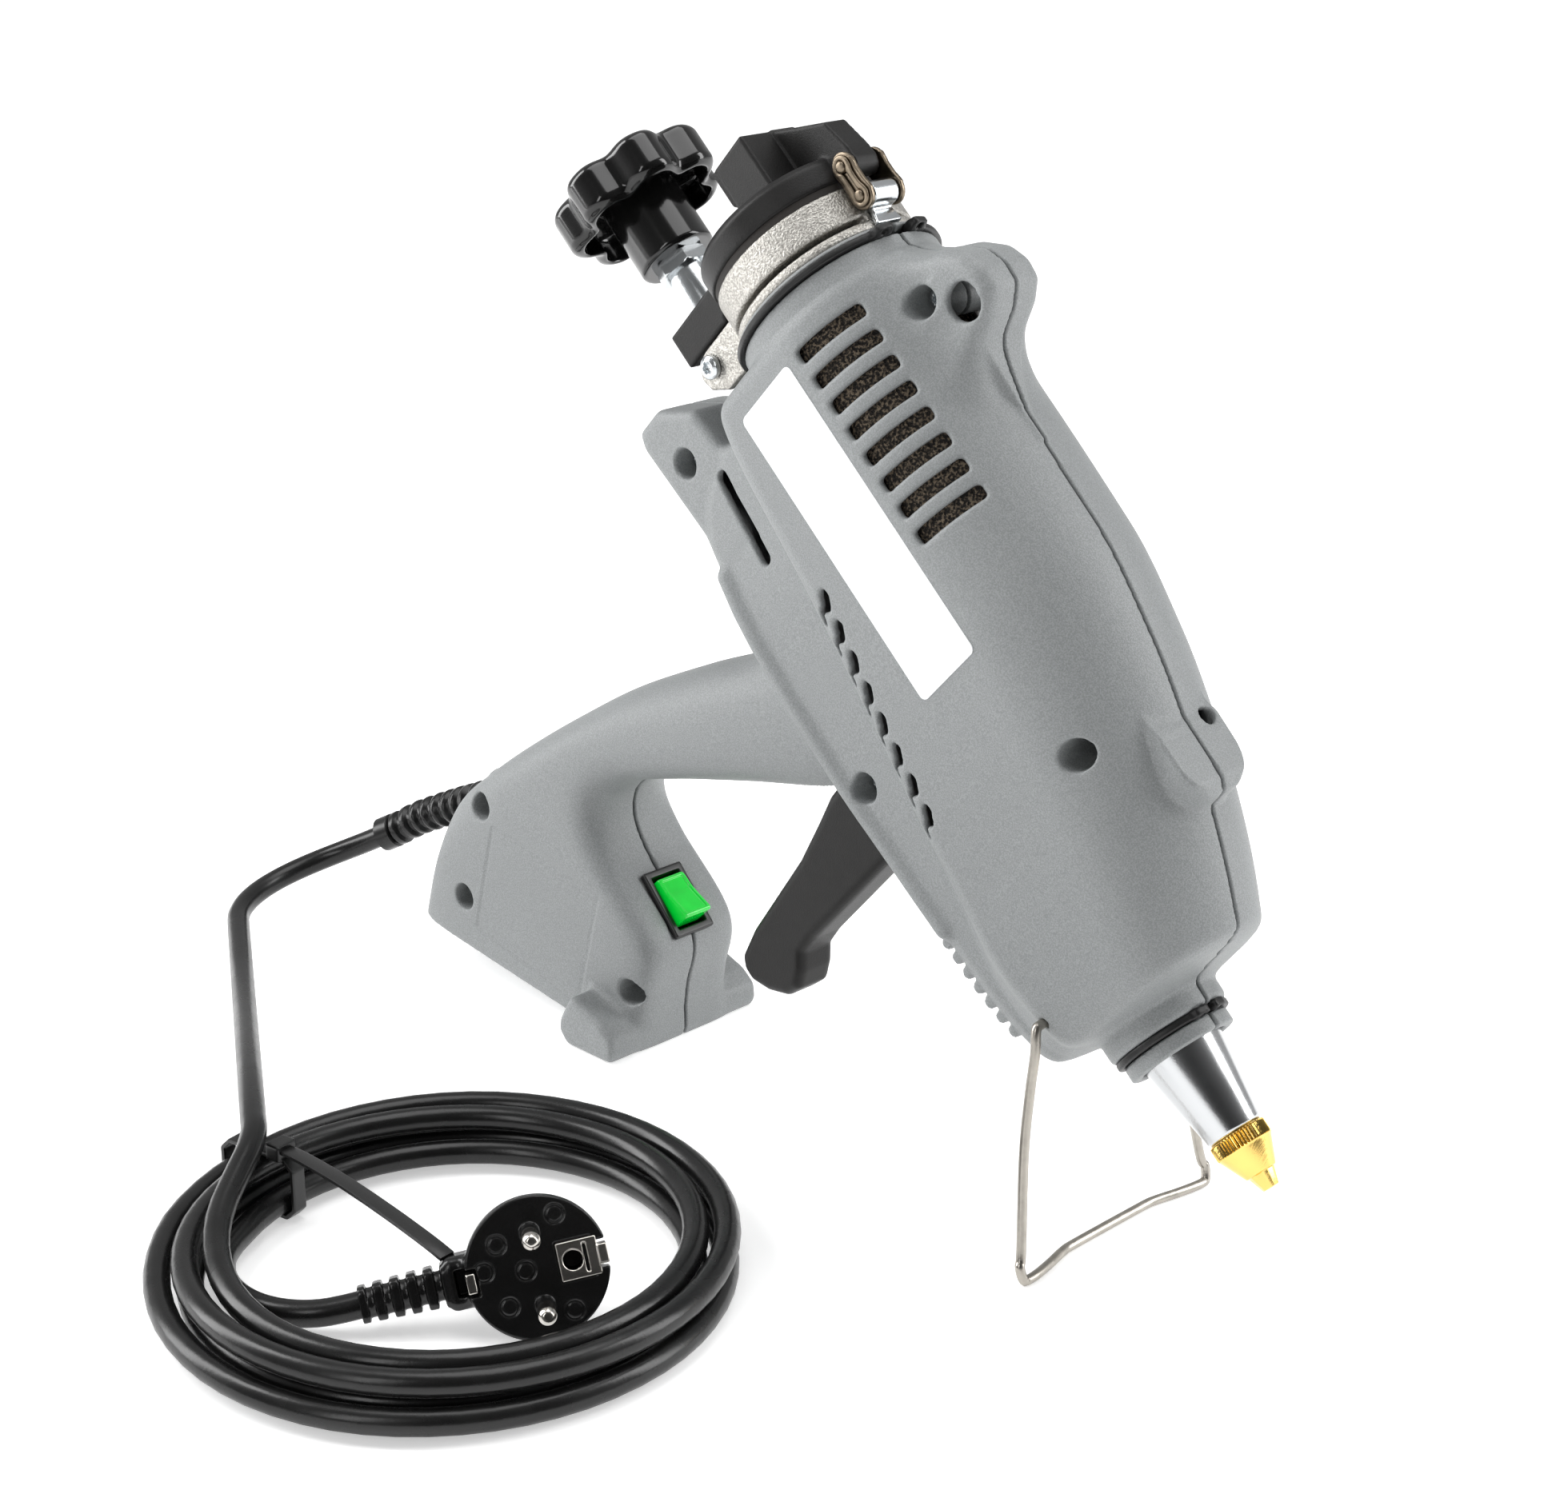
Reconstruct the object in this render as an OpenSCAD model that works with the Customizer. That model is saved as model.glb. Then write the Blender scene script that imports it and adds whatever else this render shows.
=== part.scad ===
// Hand-held hot wax gun: heated tank, clamped lid, trigger valve, folding wire stand and mains lead.
// It stands on its handle foot and its wire stand, nozzle down. Units are millimetres.
// The gun frame has x forward along the nozzle axis from its tip, y to the left and z up from the axis.

/* [Stance] */
// Nose-down tilt of the nozzle axis as the gun stands, in degrees
rest_tilt = 43; // [41:1:45]
// Distance of the nozzle tip ahead of the origin
tip_x = 163.4; // [150:0.5:175]

/* [Housing] */
// Wall thickness of the moulded halves
wall = 2.5; // [2:0.1:3]
// Height of the tank axis above the nozzle axis
tank_z = 44.5; // [43:0.5:46]
// Radius of the round tank side of the housing
bulge_r = 31.5; // [31:0.1:32.5]
// Radius of the hole in the hanging lug
hang_r = 5.2; // [4:0.1:5.6]
// Thickness of the hanging lug
lug_w = 22; // [18:0.5:26]
// Width of the foot
foot_w = 62; // [50:1:70]
// Radius of the screw posts
post_r = 5.2; // [4.8:0.1:5.6]
// Radius of the screw pockets
pocket_r = 4; // [3.8:0.1:4.2]

/* [Tank] */
// Inner radius of the melt tank
tank_r = 22; // [20:0.5:22.5]
// Wall of the melt tank
tank_wall = 3; // [2.5:0.1:3.3]
// Radius of the cast collar under the lid
collar_r = 28; // [27:0.5:29]
// Thickness of the felt jacket round the tank
felt = 3; // [2:0.1:3.2]

/* [Lid and clamp] */
// Pitch of the hinge link
link_pitch = 9.5; // [9:0.1:10]
// Radius of the link pins
link_pin_r = 1.7; // [1.4:0.1:2]
// Radius of the clamp stud
stud_r = 4; // [3.5:0.1:4.2]
// Radius of the clamp sleeve
sleeve_r = 6; // [5.6:0.1:6.2]
// Radius of the star knob
knob_r = 25; // [22:0.5:28]
// Number of lobes on the star knob
knob_lobes = 7; // [5:1:9]
// Radius of the knob's hub
hub_r = 11.5; // [10:0.5:12.5]

/* [Valve and trigger] */
// Radius of the valve plunger
plunger_r = 4; // [3:0.1:4.5]
// Large radius of the nozzle cone
cone_r = 11.7; // [11:0.1:12]
// Small radius of the nozzle cone
cone_tip_r = 7.8; // [7.2:0.1:9]
// Width of the trigger
trigger_w = 14; // [10:0.5:15]

/* [Stand] */
// Radius of the stand's wire
wire_r = 1.35; // [1.1:0.05:1.5]
// Width of the stand's foot bar
bar_w = 79; // [70:1:90]

/* [Lead] */
// Radius of the mains lead
lead_r = 3.6; // [3:0.1:3.7]
// Loops in the coil
coil_loops = 4; // [2:2:8]
// Radius of the coil's innermost loop
coil_in_r = 60; // [56:1:64]
// Clear gap between neighbouring turns
coil_gap = 1.2; // [1:0.1:1.4]

/* [Hidden] */
$fn = 48;

// Clearances: running fit of pins, sliding fit of seats, free gap between bodies
run_fit = 0.05;
seat_fit = 0.1;
free_gap = 0.4;
// Overlap that carries a cut past a face
past = 1;

// Handle foot: its front bottom edge in the gun frame sets the height of the gun
foot_x = -140;
foot_z = -176.5;
tip_z = foot_x * sin(rest_tilt) - foot_z * cos(rest_tilt);

// Housing body, front to back stations: [x, front, half width, crease, spine half width, rear]
neck_x = -250;
front_z = tank_z + bulge_r;
BODY = [
    [neck_x, front_z, bulge_r, 14, 13, -4],
    [-240, front_z, bulge_r, 11, 14, -30],
    [-228, front_z, bulge_r, 9, 15, -38],
    [-200, front_z, bulge_r, 6, 17, -41],
    [-160, front_z - 0.8, bulge_r - 0.2, 0, 17.5, -41.5],
    [-130, front_z - 6, bulge_r - 1, -6, 18, -39.5],
    [-105, front_z - 13.5, bulge_r - 2.5, -11, 19, -37],
    [-82, front_z - 23, bulge_r - 4, -15, 19.5, -34.5],
    [-62, front_z - 33.5, bulge_r - 7, -14, 18, -31.5],
    [-57, front_z - 37, bulge_r - 9, -12, 16, -29],
    [-53.5, front_z - 60, bulge_r - 17.5, -1, 9, -17]
];
nose_end = -53.5;

// Handle stations from the body to the underside of the base:
// [front x, front z, back x, back z, half width, squareness]
GRIP = [
    [-152, -30, -203, -30, 14.5, 2.6],
    [-155, -47, -203, -47, 15.5, 2.6],
    [-176, -78, -215, -75, 16.5, 2.6],
    [-195, -107, -226, -103, 16.5, 2.6],
    [-206, -127, -233, -128, 17, 2.6],
    [-203, -139, -238, -150, 18.5, 3.2],
    [-190, -144.5, -241.5, -172, 20, 4],
    [-161, -146.5, -243, -193, 20.5, 5],
    [-150, -162, -237, -217, 20.5, 5],
    [foot_x, foot_z, -227, -238, 20.5, 5]
];
grip_sides = 24;
grip_steps = 2;

// Screws that join the halves: [x, z, depth of the head below the parting plane]
SCREWS = [
    [-255, -25, 6], [-231, 78, 4], [-112.5, 49, 9], [-148.5, -30, 9.5],
    [-234, -180, 9], [-218, -211, 9], [-155.5, -164, 9]
];
screw_r = 2;
screw_head_r = 3.5;
screw_head_h = 2.4;
screw_reach = 10;
pivot_x = SCREWS[3][0];
pivot_z = SCREWS[3][1];
hang_x = -223;
hang_z = 88;

// Neck, collar and lid along the tank axis
rim_x = -273;
flange_x = -258.5;
neck_r = bulge_r - 1;
neck_bore_r = tank_r + tank_wall + 0.8;
tank_end = -128;
tank_shoulder = -150;
felt_end = -165;
seal_t = 2;
lid_x = rim_x - seal_t;
lid_h = 9;
grip_h = 17.5;
lid_top = lid_x - lid_h;
ring_x = -256.8;
ring_t = 2;
ring_in_r = neck_r - 2;
ring_out_r = neck_r + 1.2;

// Nose neck
nose_r = 15.5;
nose_ring_x = -47.5;
nose_front = -41;
nose_bore_r = cone_r + 0.6;

// Lid hinge
link_z = tank_z + collar_r + 3.7;
lid_pin_x = rim_x - 3.3;
bracket_pin_x = lid_pin_x + link_pitch;
eye_r = link_pin_r + 1.7;
link_plate_t = 1.4;
bracket_half = 4.6;
link_in = bracket_half + free_gap;
pad_z = tank_z + collar_r + 0.1;

// Clamp
pin_x = -267.7;
stud_z = 3;
ear_in = 9;
ear_t = 3;
fork_h = 9.5;
fork_top = lid_x - fork_h;
fork_bottom = rim_x - 0.6;
fork_back = -6;
fork_half = 11;
slot_half = sleeve_r + 0.7;
hub_end = lid_top - 19.5;
lobe_x = hub_end - 16;
knob_face = lobe_x - 14.5;
hex_af = 14;

// Outlet block under the tank
block_back = -136;
block_front = -64;
block_half = 12.5;
block_low = -11;
block_high = 27;
spring_well = 22;
heater_r = 3.2;
heater_y = 7.8;
heater_z = 14;
pipe_thread_r = 9;
pipe_thread = 6;
cone_back = -43;
cone_front = -16.5;

// Trigger nose that pushes the plunger
trigger_nose_r = 3;
trigger_nose_z = -3.5;
plunger_back = pivot_x + trigger_nose_r + free_gap;

// Stand pivot in the gun frame, and its lateral places
stand_x = -66;
stand_z = -13;
stand_y = 28;
stand_in = 19;

// Switch in the base, and the board behind it
switch_x = -171.8;
switch_z = -145.7;
switch_l = 22.5;
switch_w = 15.6;
switch_tilt = 3.9;
board_y = 8.9;
rocker_l = 15;
rocker_w = 10.4;

// Strain relief: exit in the standing frame, its slope, and the way it bends under the lead
gland_x = -143;
gland_z = 57;
gland_slope = 24.4;
gland_r = 5.6;
spigot = 3;
gland_dir = [-cos(gland_slope), 0, -sin(gland_slope)];
gland_exit = [gland_x, 0, gland_z];
gland_end = [-199, -7, 28.5];
gland_out = unit([-0.8, -0.37, -0.47]);
GLAND = [gland_exit, gland_exit + 14 * gland_dir, gland_exit + 28 * gland_dir, [-184.5, -1.8, 37.5],
    gland_end - 8 * gland_out, gland_end];

// Coil of the lead on the ground
coil_c = [6, -144];
coil_start = 215;
coil_end = -6.2;
coil_pitch = 2 * lead_r + coil_gap;
tie_t = 1.4;
coil_low = tie_t + lead_r + 0.3;
coil_high = coil_low + coil_pitch;
coil_turns = coil_loops / 2;
coil_out_r = coil_in_r + coil_pitch * coil_turns;

// Plug: face centre, and its axes: out of the face, and along the lead's exit
plug_c = [42, -144.5, 19];
plug_turn = 52;
plug_lean = 22;
plug_roll = 10;
plug_r = 18.6;
plug_pin_pitch = 19;
plug_pin_r = 2.4;
plug_pin_l = 19;
relief_z = -10;
relief_l = 46;
tie_angle = 190;
tie_w = 4.8;

// Vector helpers
function unit(v) = v / norm(v);
function blend(a, b, t) = a + (b - a) * t;
function spread(x, p) = sign(x) * pow(abs(x), p);
function spline_at(a, b, c, d, t) = 0.5 * (2 * b + (c - a) * t + (2 * a - 5 * b + 4 * c - d) * t * t
    + (3 * b - a - 3 * c + d) * t * t * t);
function spline(p, k) = let (m = len(p) - 1) concat(
    [for (i = [0 : m - 1]) for (s = [0 : k - 1])
        spline_at(p[max(i - 1, 0)], p[i], p[i + 1], p[min(i + 2, m)], s / k)], [p[m]]);
function centre(ring) = [for (q = ring) 1] * ring / len(ring);

// Closed solid through a list of rings with equal numbers of points
module loft(rings) {
    m = len(rings);
    n = len(rings[0]);
    points = concat([for (r = rings) each r], [centre(rings[0]), centre(rings[m - 1])]);
    sides = [for (i = [0 : m - 2]) for (j = [0 : n - 1]) let (k = (j + 1) % n) each
        [[i * n + j, i * n + k, (i + 1) * n + k], [i * n + j, (i + 1) * n + k, (i + 1) * n + j]]];
    caps = [for (j = [0 : n - 1]) let (k = (j + 1) % n) each
        [[m * n, k, j], [m * n + 1, (m - 1) * n + j, (m - 1) * n + k]]];
    polyhedron(points, concat(sides, caps), convexity = 8);
}

// Tube of even radius along a list of points
function tangent(p, i) = unit(p[min(i + 1, len(p) - 1)] - p[max(i - 1, 0)]);
function tube_ring(c, t, r, sides, up) = let (a = unit(cross(t, up)), b = cross(a, t))
    [for (j = [0 : sides - 1]) let (w = 360 * j / sides) c + r * (cos(w) * a + sin(w) * b)];
function tube_rings(p, r, sides, up) =
    [for (i = [0 : len(p) - 1]) tube_ring(p[i], tangent(p, i), r, sides, up)];
module tube(p, r, sides, up = [0, 0, 1]) {
    loft(tube_rings(p, r, sides, up));
}

// Rods along x and y, and a slab cut to an outline in x and z
module rod_x(r, x0, x1, z = 0, y = 0) {
    translate([x0, y, z]) rotate([0, 90, 0]) cylinder(r = r, h = x1 - x0);
}
module cone_x(r0, r1, x0, x1, z = 0) {
    translate([x0, 0, z]) rotate([0, 90, 0]) cylinder(r1 = r0, r2 = r1, h = x1 - x0);
}
module rod_y(r, y0, y1, x, z) {
    translate([x, y0, z]) rotate([-90, 0, 0]) cylinder(r = r, h = y1 - y0);
}
module slab(outline, w) {
    rotate([90, 0, 0]) linear_extrude(height = w, center = true) polygon(outline);
}
module block(x0, x1, y0, y1, z0, z1) {
    translate([x0, y0, z0]) cube([x1 - x0, y1 - y0, z1 - z0]);
}
// Turned piece about the tank axis, from an outline of [radius, x]
module turned(outline) {
    translate([0, 0, tank_z]) rotate([0, 90, 0]) rotate_extrude() polygon(outline);
}
// Gun frame set down in its standing place
module standing() {
    translate([tip_x, 0, tip_z]) rotate([0, rest_tilt, 0]) children();
}
function stood(x, y, z) = [tip_x + x * cos(rest_tilt) + z * sin(rest_tilt), y,
    tip_z - x * sin(rest_tilt) + z * cos(rest_tilt)];

// Housing

// Half of a body section, from the front round one side to the rear, drawn in by d
function half_section(s, d) = let (r = s[2] - d, c = s[1] - s[2], k = s[3] + d / 2,
        w = min(s[4] - d, r - 4), b = s[5] + d)
    concat([for (i = [0 : 8]) [c + r * cos(i * 90 / 8), r * sin(i * 90 / 8)]],
        [[k + 3, r], [k, r - 1], [k - 3, r - 3.5], [k - 8, w + 1], [k - 10, w],
        [b + 6, w], [b + 2, w - 1.8], [b, w - 6]]);
function body_ring(s, d) = let (h = half_section(s, d), n = len(h)) concat(
    [for (q = h) [s[0], q[1], q[0]]], [for (i = [n - 1 : -1 : 1]) [s[0], -h[i][1], h[i][0]]]);
// A ring drawn in towards height z by a factor and moved to x, to close a form inside a round piece
function shrunk(ring, z, f, x) = [for (q = ring) [x, q[1] * f, z + (q[2] - z) * f]];
module body_form(d, from = 0, to = len(BODY) - 1, start = [neck_x - 4, 0.6], end = []) {
    rings = [for (i = [from : to]) body_ring(BODY[i], d)];
    head = [shrunk(rings[0], tank_z, start[1], start[0])];
    tail = [if (len(end) > 0) shrunk(rings[len(rings) - 1], 0, end[1], end[0])];
    loft(concat(head, rings, tail));
}

// Section of the handle between its front and back points, drawn in by d
function grip_ring(s, d) = let (f = [s[0], 0, s[1]], b = [s[2], 0, s[3]], mid = (f + b) / 2,
        a = (norm(f - b) / 2 - d) * unit(f - b), w = s[4] - d, p = 2 / s[5])
    [for (j = [0 : grip_sides - 1]) let (q = 360 * j / grip_sides)
        mid + spread(cos(q), p) * a + [0, spread(sin(q), p) * w, 0]];
module grip_form(d, trim = 0) {
    path = spline(GRIP, grip_steps);
    loft([for (i = [0 : len(path) - 1 - trim]) grip_ring(path[i], d)]);
}

module foot_form() {
    outline = [[0, 0], [-20, 0], [-23.5, 4], [-23, 8], [-18, 17], [-4, 12], [1, 8], [1.5, 3]];
    translate([foot_x, 0, foot_z]) rotate([0, -rest_tilt, 0]) slab(outline, foot_w);
}

module at_switch() {
    translate([switch_x, 0, switch_z]) rotate([0, switch_tilt, 0]) children();
}

module hanging_lug() {
    outline = [[-246, 60], [-243, 80], [-238, 90], [-232, 96], [-226, 98.2], [-220, 97.4], [-216, 92],
        [-213, 84], [-207, 74], [-206, 60]];
    slab(outline, lug_w);
}

module rear_lug() {
    outline = [[-273, -35], [-273, -24], [-264, -12], [-250, -10], [-240, 8], [-226, 8], [-224, -34],
        [-268, -37]];
    slab(outline, 28);
}

// Ledge with a flat face across the front
module front_ledge() {
    outline = [[-112, 30], [-112, 62], [-106, 63.5], [-90, 63], [-86.5, 61], [-85, 50], [-85, 30]];
    intersection() {
        slab(outline, 26);
        union() {
            translate([-98, 0, 20]) cylinder(r = 13, h = 50);
            block(-114, -98, -13, 13, 20, 70);
        }
    }
}

// Places a piece on the lead's exit, in the gun frame
module at_gland() {
    rotate([0, -rest_tilt, 0]) translate([gland_x - tip_x, 0, gland_z - tip_z])
        rotate([0, -90 - gland_slope, 0]) children();
}

module housing_solid() {
    body_form(0);
    grip_form(0);
    foot_form();
    hanging_lug();
    rear_lug();
    front_ledge();
    rod_x(neck_r, flange_x, neck_x + past, tank_z);
    rod_x(nose_r + 2, nose_end - 4, nose_ring_x);
    rod_x(nose_r - 2, nose_ring_x - past, nose_front);
    rod_x(nose_r, nose_ring_x + ring_t, nose_front);
    at_gland() translate([0, 0, -14]) cylinder(r = gland_r + 3, h = 14);
}

module housing_cavity() {
    body_form(wall, 1, len(BODY) - 3, [-246, 0.38], [-58, 0.25]);
    grip_form(wall, 1);
    rod_x(tank_r + tank_wall + felt + free_gap, neck_x + 2, -238, tank_z);
    rod_x(neck_bore_r, flange_x - past, neck_x + 3, tank_z);
}

module housing_cuts() {
    // Snap ring groove round the neck
    difference() {
        rod_x(neck_r + past, ring_x, ring_x + ring_t + seat_fit, tank_z);
        rod_x(ring_in_r, ring_x - past, ring_x + ring_t + past, tank_z);
    }
    rod_x(nose_bore_r, -66, nose_front + past);
    // Hanging hole
    rod_y(hang_r, -lug_w, lug_w, hang_x, hang_z);
    // Trigger opening through the underside and the front of the grip
    slab([[-182, -36], [-126, -36], [-126, -48], [-150, -88], [-186, -88]], trigger_w + 1.4);
    // Switch opening
    at_switch() block(-9.7, 9.7, -6.8, 6.8, -22, 6);
    at_switch() block(-switch_l / 2 - 0.1, switch_l / 2 + 0.1, -switch_w / 2 - 0.1, switch_w / 2 + 0.1, -0.3, 6);
    // Stand pivots
    rod_y(wire_r + 0.1, -40, 40, stand_x, stand_z);
    // Vent slots over the tank jacket
    for (i = [0 : 7]) for (side = [-1, 1]) translate([-239 + 8.3 * i, 0, tank_z])
        vent_slot(side);
    // Lead exit
    at_gland() translate([0, 0, -spigot - seat_fit]) cylinder(r = gland_r - 1.8 + seat_fit, h = spigot + past);
    at_gland() cylinder(r = gland_r + 1 + seat_fit, h = 14);
}

// One vent slot round the side of the tank
module vent_slot(side) {
    slot_w = 4;
    rotate([0, 90, 0]) rotate([0, 0, side > 0 ? 98 : 221]) rotate_extrude(angle = 41)
        translate([bulge_r - wall - past, -slot_w / 2]) square([wall + 2 * past, slot_w]);
}

module posts() {
    for (s = SCREWS) rod_y(post_r, -bulge_r, bulge_r, s[0], s[1]);
    // Board posts on the left half
    for (q = [[-212, -190], [-178, -172]]) rod_y(3, board_y, 19, q[0], q[1]);
}

module screw_holes() {
    for (s = SCREWS) {
        rod_y(pocket_r, -bulge_r - past, -s[2], s[0], s[1]);
        rod_y(screw_r + seat_fit, -s[2] - past, screw_reach + past, s[0], s[1]);
    }
}

module housing_shell() {
    difference() {
        union() {
            difference() {
                housing_solid();
                housing_cavity();
                housing_cuts();
            }
            intersection() {
                posts();
                union() {
                    body_form(wall / 2);
                    grip_form(wall / 2);
                    rear_lug();
                    hanging_lug();
                }
            }
        }
        screw_holes();
    }
}

module half_space(side) {
    translate([-380, side > 0 ? 0 : -60, -260]) cube([400, 60, 400]);
}

module housing_left() {
    color([0.56, 0.58, 0.58]) standing() intersection() {
        housing_shell();
        half_space(1);
    }
}

module housing_right() {
    color([0.56, 0.58, 0.58]) standing() intersection() {
        housing_shell();
        half_space(-1);
    }
}

module housing_screws() {
    color("silver") standing() for (s = SCREWS) {
        rod_y(screw_head_r, -s[2] - screw_head_h, -s[2], s[0], s[1]);
        rod_y(screw_r, -s[2] - screw_head_h / 2, screw_reach, s[0], s[1]);
    }
}

// Melt tank: one casting with its collar, clamp ears, hinge pad and outlet block

module melt_tank() {
    out_r = tank_r + tank_wall;
    color([0.75, 0.74, 0.71]) standing() difference() {
        union() {
            turned([[0, rim_x], [collar_r, rim_x], [collar_r, -263.5], [collar_r - 1, -263],
                [collar_r - 1, -262.4], [collar_r + 0.6, -261.8], [collar_r + 0.6, flange_x],
                [out_r, flange_x], [out_r, tank_shoulder], [18, tank_end], [0, tank_end]]);
            for (side = [-1, 1]) translate([0, side * (ear_in + ear_t / 2), 0]) ear();
            block(rim_x + 1, flange_x, -bracket_half, bracket_half, tank_z + 20, pad_z);
            block(block_back, block_front, -block_half, block_half, block_low, block_high);
        }
        turned([[0, rim_x - past], [tank_r, rim_x - past], [tank_r, tank_shoulder + 2],
            [14, tank_end - 4], [0, tank_end - 4]]);
        rod_x(plunger_r + run_fit, block_back - past, block_front + past);
        rod_x(plunger_r + 3, block_back - past, block_back + spring_well);
        rod_x(pipe_thread_r + seat_fit, block_front - pipe_thread, block_front + past);
        // Slanting melt channel from the tank to the plunger bore
        translate([-139, 0, 31]) rotate([0, 135, 0]) cylinder(r = 3.5, h = 42);
        for (side = [-1, 1])
            rod_x(heater_r + run_fit, block_back - past, block_back + 41, heater_z, side * heater_y);
        rod_y(2.1, -20, 20, pin_x, stud_z);
        // Flat seat of the hinge bracket, through the flange
        block(rim_x + 2, flange_x + past, -bracket_half - seat_fit, bracket_half + seat_fit, pad_z, pad_z + 4);
    }
}

module ear() {
    outline = [[rim_x + 0.3, 22], [rim_x + 0.3, 3], [-271.5, -1.5], [-267.7, -3.5], [-263.5, -2.5],
        [-259.5, 3], [flange_x - 0.1, 22]];
    slab(outline, ear_t);
}

module tank_insulation() {
    color([0.32, 0.27, 0.2]) standing() difference() {
        rod_x(tank_r + tank_wall + felt, neck_x + 4, felt_end, tank_z);
        rod_x(tank_r + tank_wall + run_fit, neck_x, tank_shoulder + past, tank_z);
    }
}

// Snap rings that hold the halves together: an open ring with two drilled ears
module snap_ring(r_in, r_out, ear) {
    gap = 14;
    rotate([0, 90, 0]) difference() {
        union() {
            rotate([0, 0, 180 + gap / 2]) rotate_extrude(angle = 360 - gap)
                translate([r_in, 0]) square([r_out - r_in, ring_t]);
            for (side = [-1, 1]) rotate([0, 0, 180 + side * (gap / 2 + 6)])
                translate([r_in + 0.4, -ear / 2, 0]) cube([ear + 1, ear, ring_t]);
        }
        for (side = [-1, 1]) rotate([0, 0, 180 + side * (gap / 2 + 6)])
            translate([r_in + ear / 2 + 1.4, 0, -past]) cylinder(r = ear / 5, h = ring_t + 2 * past);
    }
}

module neck_snap_ring() {
    color([0.15, 0.15, 0.15]) standing() translate([ring_x + seat_fit / 2, 0, tank_z])
        snap_ring(ring_in_r + seat_fit, ring_out_r, 5);
}

module nose_snap_ring() {
    color([0.15, 0.15, 0.15]) standing() translate([nose_ring_x, 0, 0])
        snap_ring(nose_r - 2 + seat_fit, nose_r + 1.4, 4);
}

// Lid, its seal and its chain-link hinge

module lid() {
    color([0.1, 0.1, 0.1]) standing() difference() {
        union() {
            turned([[0, lid_top], [collar_r - 3, lid_top], [collar_r - 0.6, lid_top + 2.4],
                [collar_r, lid_top + 6], [collar_r, lid_x], [tank_r - 1.2, lid_x],
                [tank_r - 1.2, rim_x + 5], [0, rim_x + 5]]);
            slab([[lid_top - grip_h, 45], [lid_top - grip_h, 61], [lid_top + past, 61], [lid_top + past, 49],
                [lid_top - grip_h + 11, 45]], 32);
            slab([[lid_top - grip_h + 0.5, 56], [lid_top - grip_h + 0.5, 61], [lid_top - 6, 77.5],
                [lid_top + 4, link_z + eye_r], [lid_pin_x, link_z + eye_r], [lid_pin_x, link_z - eye_r],
                [lid_top + 7, 66], [lid_top + 3, 54]], 8.4);
            rod_y(eye_r, -4.2, 4.2, lid_pin_x, link_z);
            slab([[fork_top, fork_back], [fork_top, 24], [lid_x, 24], [lid_x, 16], [fork_bottom, 16],
                [fork_bottom, fork_back]], 2 * fork_half);
        }
        // Slot of the fork, open to the rear
        rod_x(slot_half, fork_top - past, fork_bottom + past, stud_z);
        block(fork_top - past, fork_bottom + past, -slot_half, slot_half, fork_back - past, stud_z);
        rod_y(link_pin_r + run_fit, -10, 10, lid_pin_x, link_z);
        // Hole through the grip rib
        translate([lid_top - 12, 0, 69]) rotate([0, 39, 0]) translate([0, 0, -8]) cylinder(r = 1.6, h = 16);
    }
}

module lid_seal() {
    color([0.3, 0.12, 0.08]) standing()
        turned([[tank_r - 1.1, lid_x], [collar_r - 0.6, lid_x], [collar_r - 0.6, rim_x], [tank_r - 1.1, rim_x]]);
}

module lid_hinge_bracket() {
    sheet = 1.8;
    color([0.8, 0.8, 0.78]) standing() difference() {
        union() {
            block(bracket_pin_x, flange_x - 0.4, -bracket_half, bracket_half, pad_z, pad_z + sheet);
            rod_y(eye_r, -bracket_half, bracket_half, bracket_pin_x, link_z);
        }
        rod_y(link_pin_r + run_fit, -10, 10, bracket_pin_x, link_z);
    }
}

// Chain side plate: two round ends joined by a narrower waist
module link_outline(r, waist) {
    for (x = [lid_pin_x, bracket_pin_x]) translate([x, link_z]) circle(r = r);
    translate([lid_pin_x, link_z - waist]) square([link_pitch, 2 * waist]);
}

module link_plate(y, t, r, waist) {
    translate([0, y, 0]) rotate([90, 0, 0]) linear_extrude(height = t, center = true) difference() {
        link_outline(r, waist);
        for (x = [lid_pin_x, bracket_pin_x]) translate([x, link_z]) circle(r = link_pin_r + run_fit);
    }
}

module link_plates() {
    color([0.35, 0.31, 0.25]) standing() for (side = [-1, 1])
        link_plate(side * (link_in + link_plate_t / 2), link_plate_t, 3.9, 3.2);
}

module link_pins() {
    reach = link_in + link_plate_t + 1.4;
    color([0.6, 0.55, 0.5]) standing() for (x = [lid_pin_x, bracket_pin_x])
        rod_y(link_pin_r, -reach, reach - 1, x, link_z);
}

module link_spring_clip() {
    clip_t = 0.8;
    color([0.3, 0.26, 0.2]) standing() difference() {
        link_plate(-link_in - link_plate_t - clip_t / 2 - 0.05, clip_t, 3.2, 2.6);
        translate([lid_pin_x + 1.2, -link_in - 4, link_z - 0.7]) cube([link_pitch - 2.4, 4, 1.4]);
    }
}

// Swing clamp: a stud with its knob in a trunnion between the tank's ears

module clamp_stud() {
    color([0.75, 0.78, 0.8]) standing() {
        rod_x(stud_r, lobe_x - 3, pin_x + 9, stud_z);
        translate([pin_x + 6, 0, stud_z]) rotate([0, 90, 0]) cylinder(r = 11 / sqrt(3), h = 4, $fn = 6);
    }
}

module trunnion() {
    color([0.7, 0.72, 0.74]) standing() difference() {
        rod_y(5.4, -ear_in + free_gap, ear_in - free_gap, pin_x, stud_z);
        rod_x(stud_r + run_fit, pin_x - 10, pin_x + 10, stud_z);
        rod_y(2 + run_fit, -ear_in, -stud_r - 1.2, pin_x, stud_z);
        rod_y(2 + run_fit, stud_r + 1.2, ear_in, pin_x, stud_z);
    }
}

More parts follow.
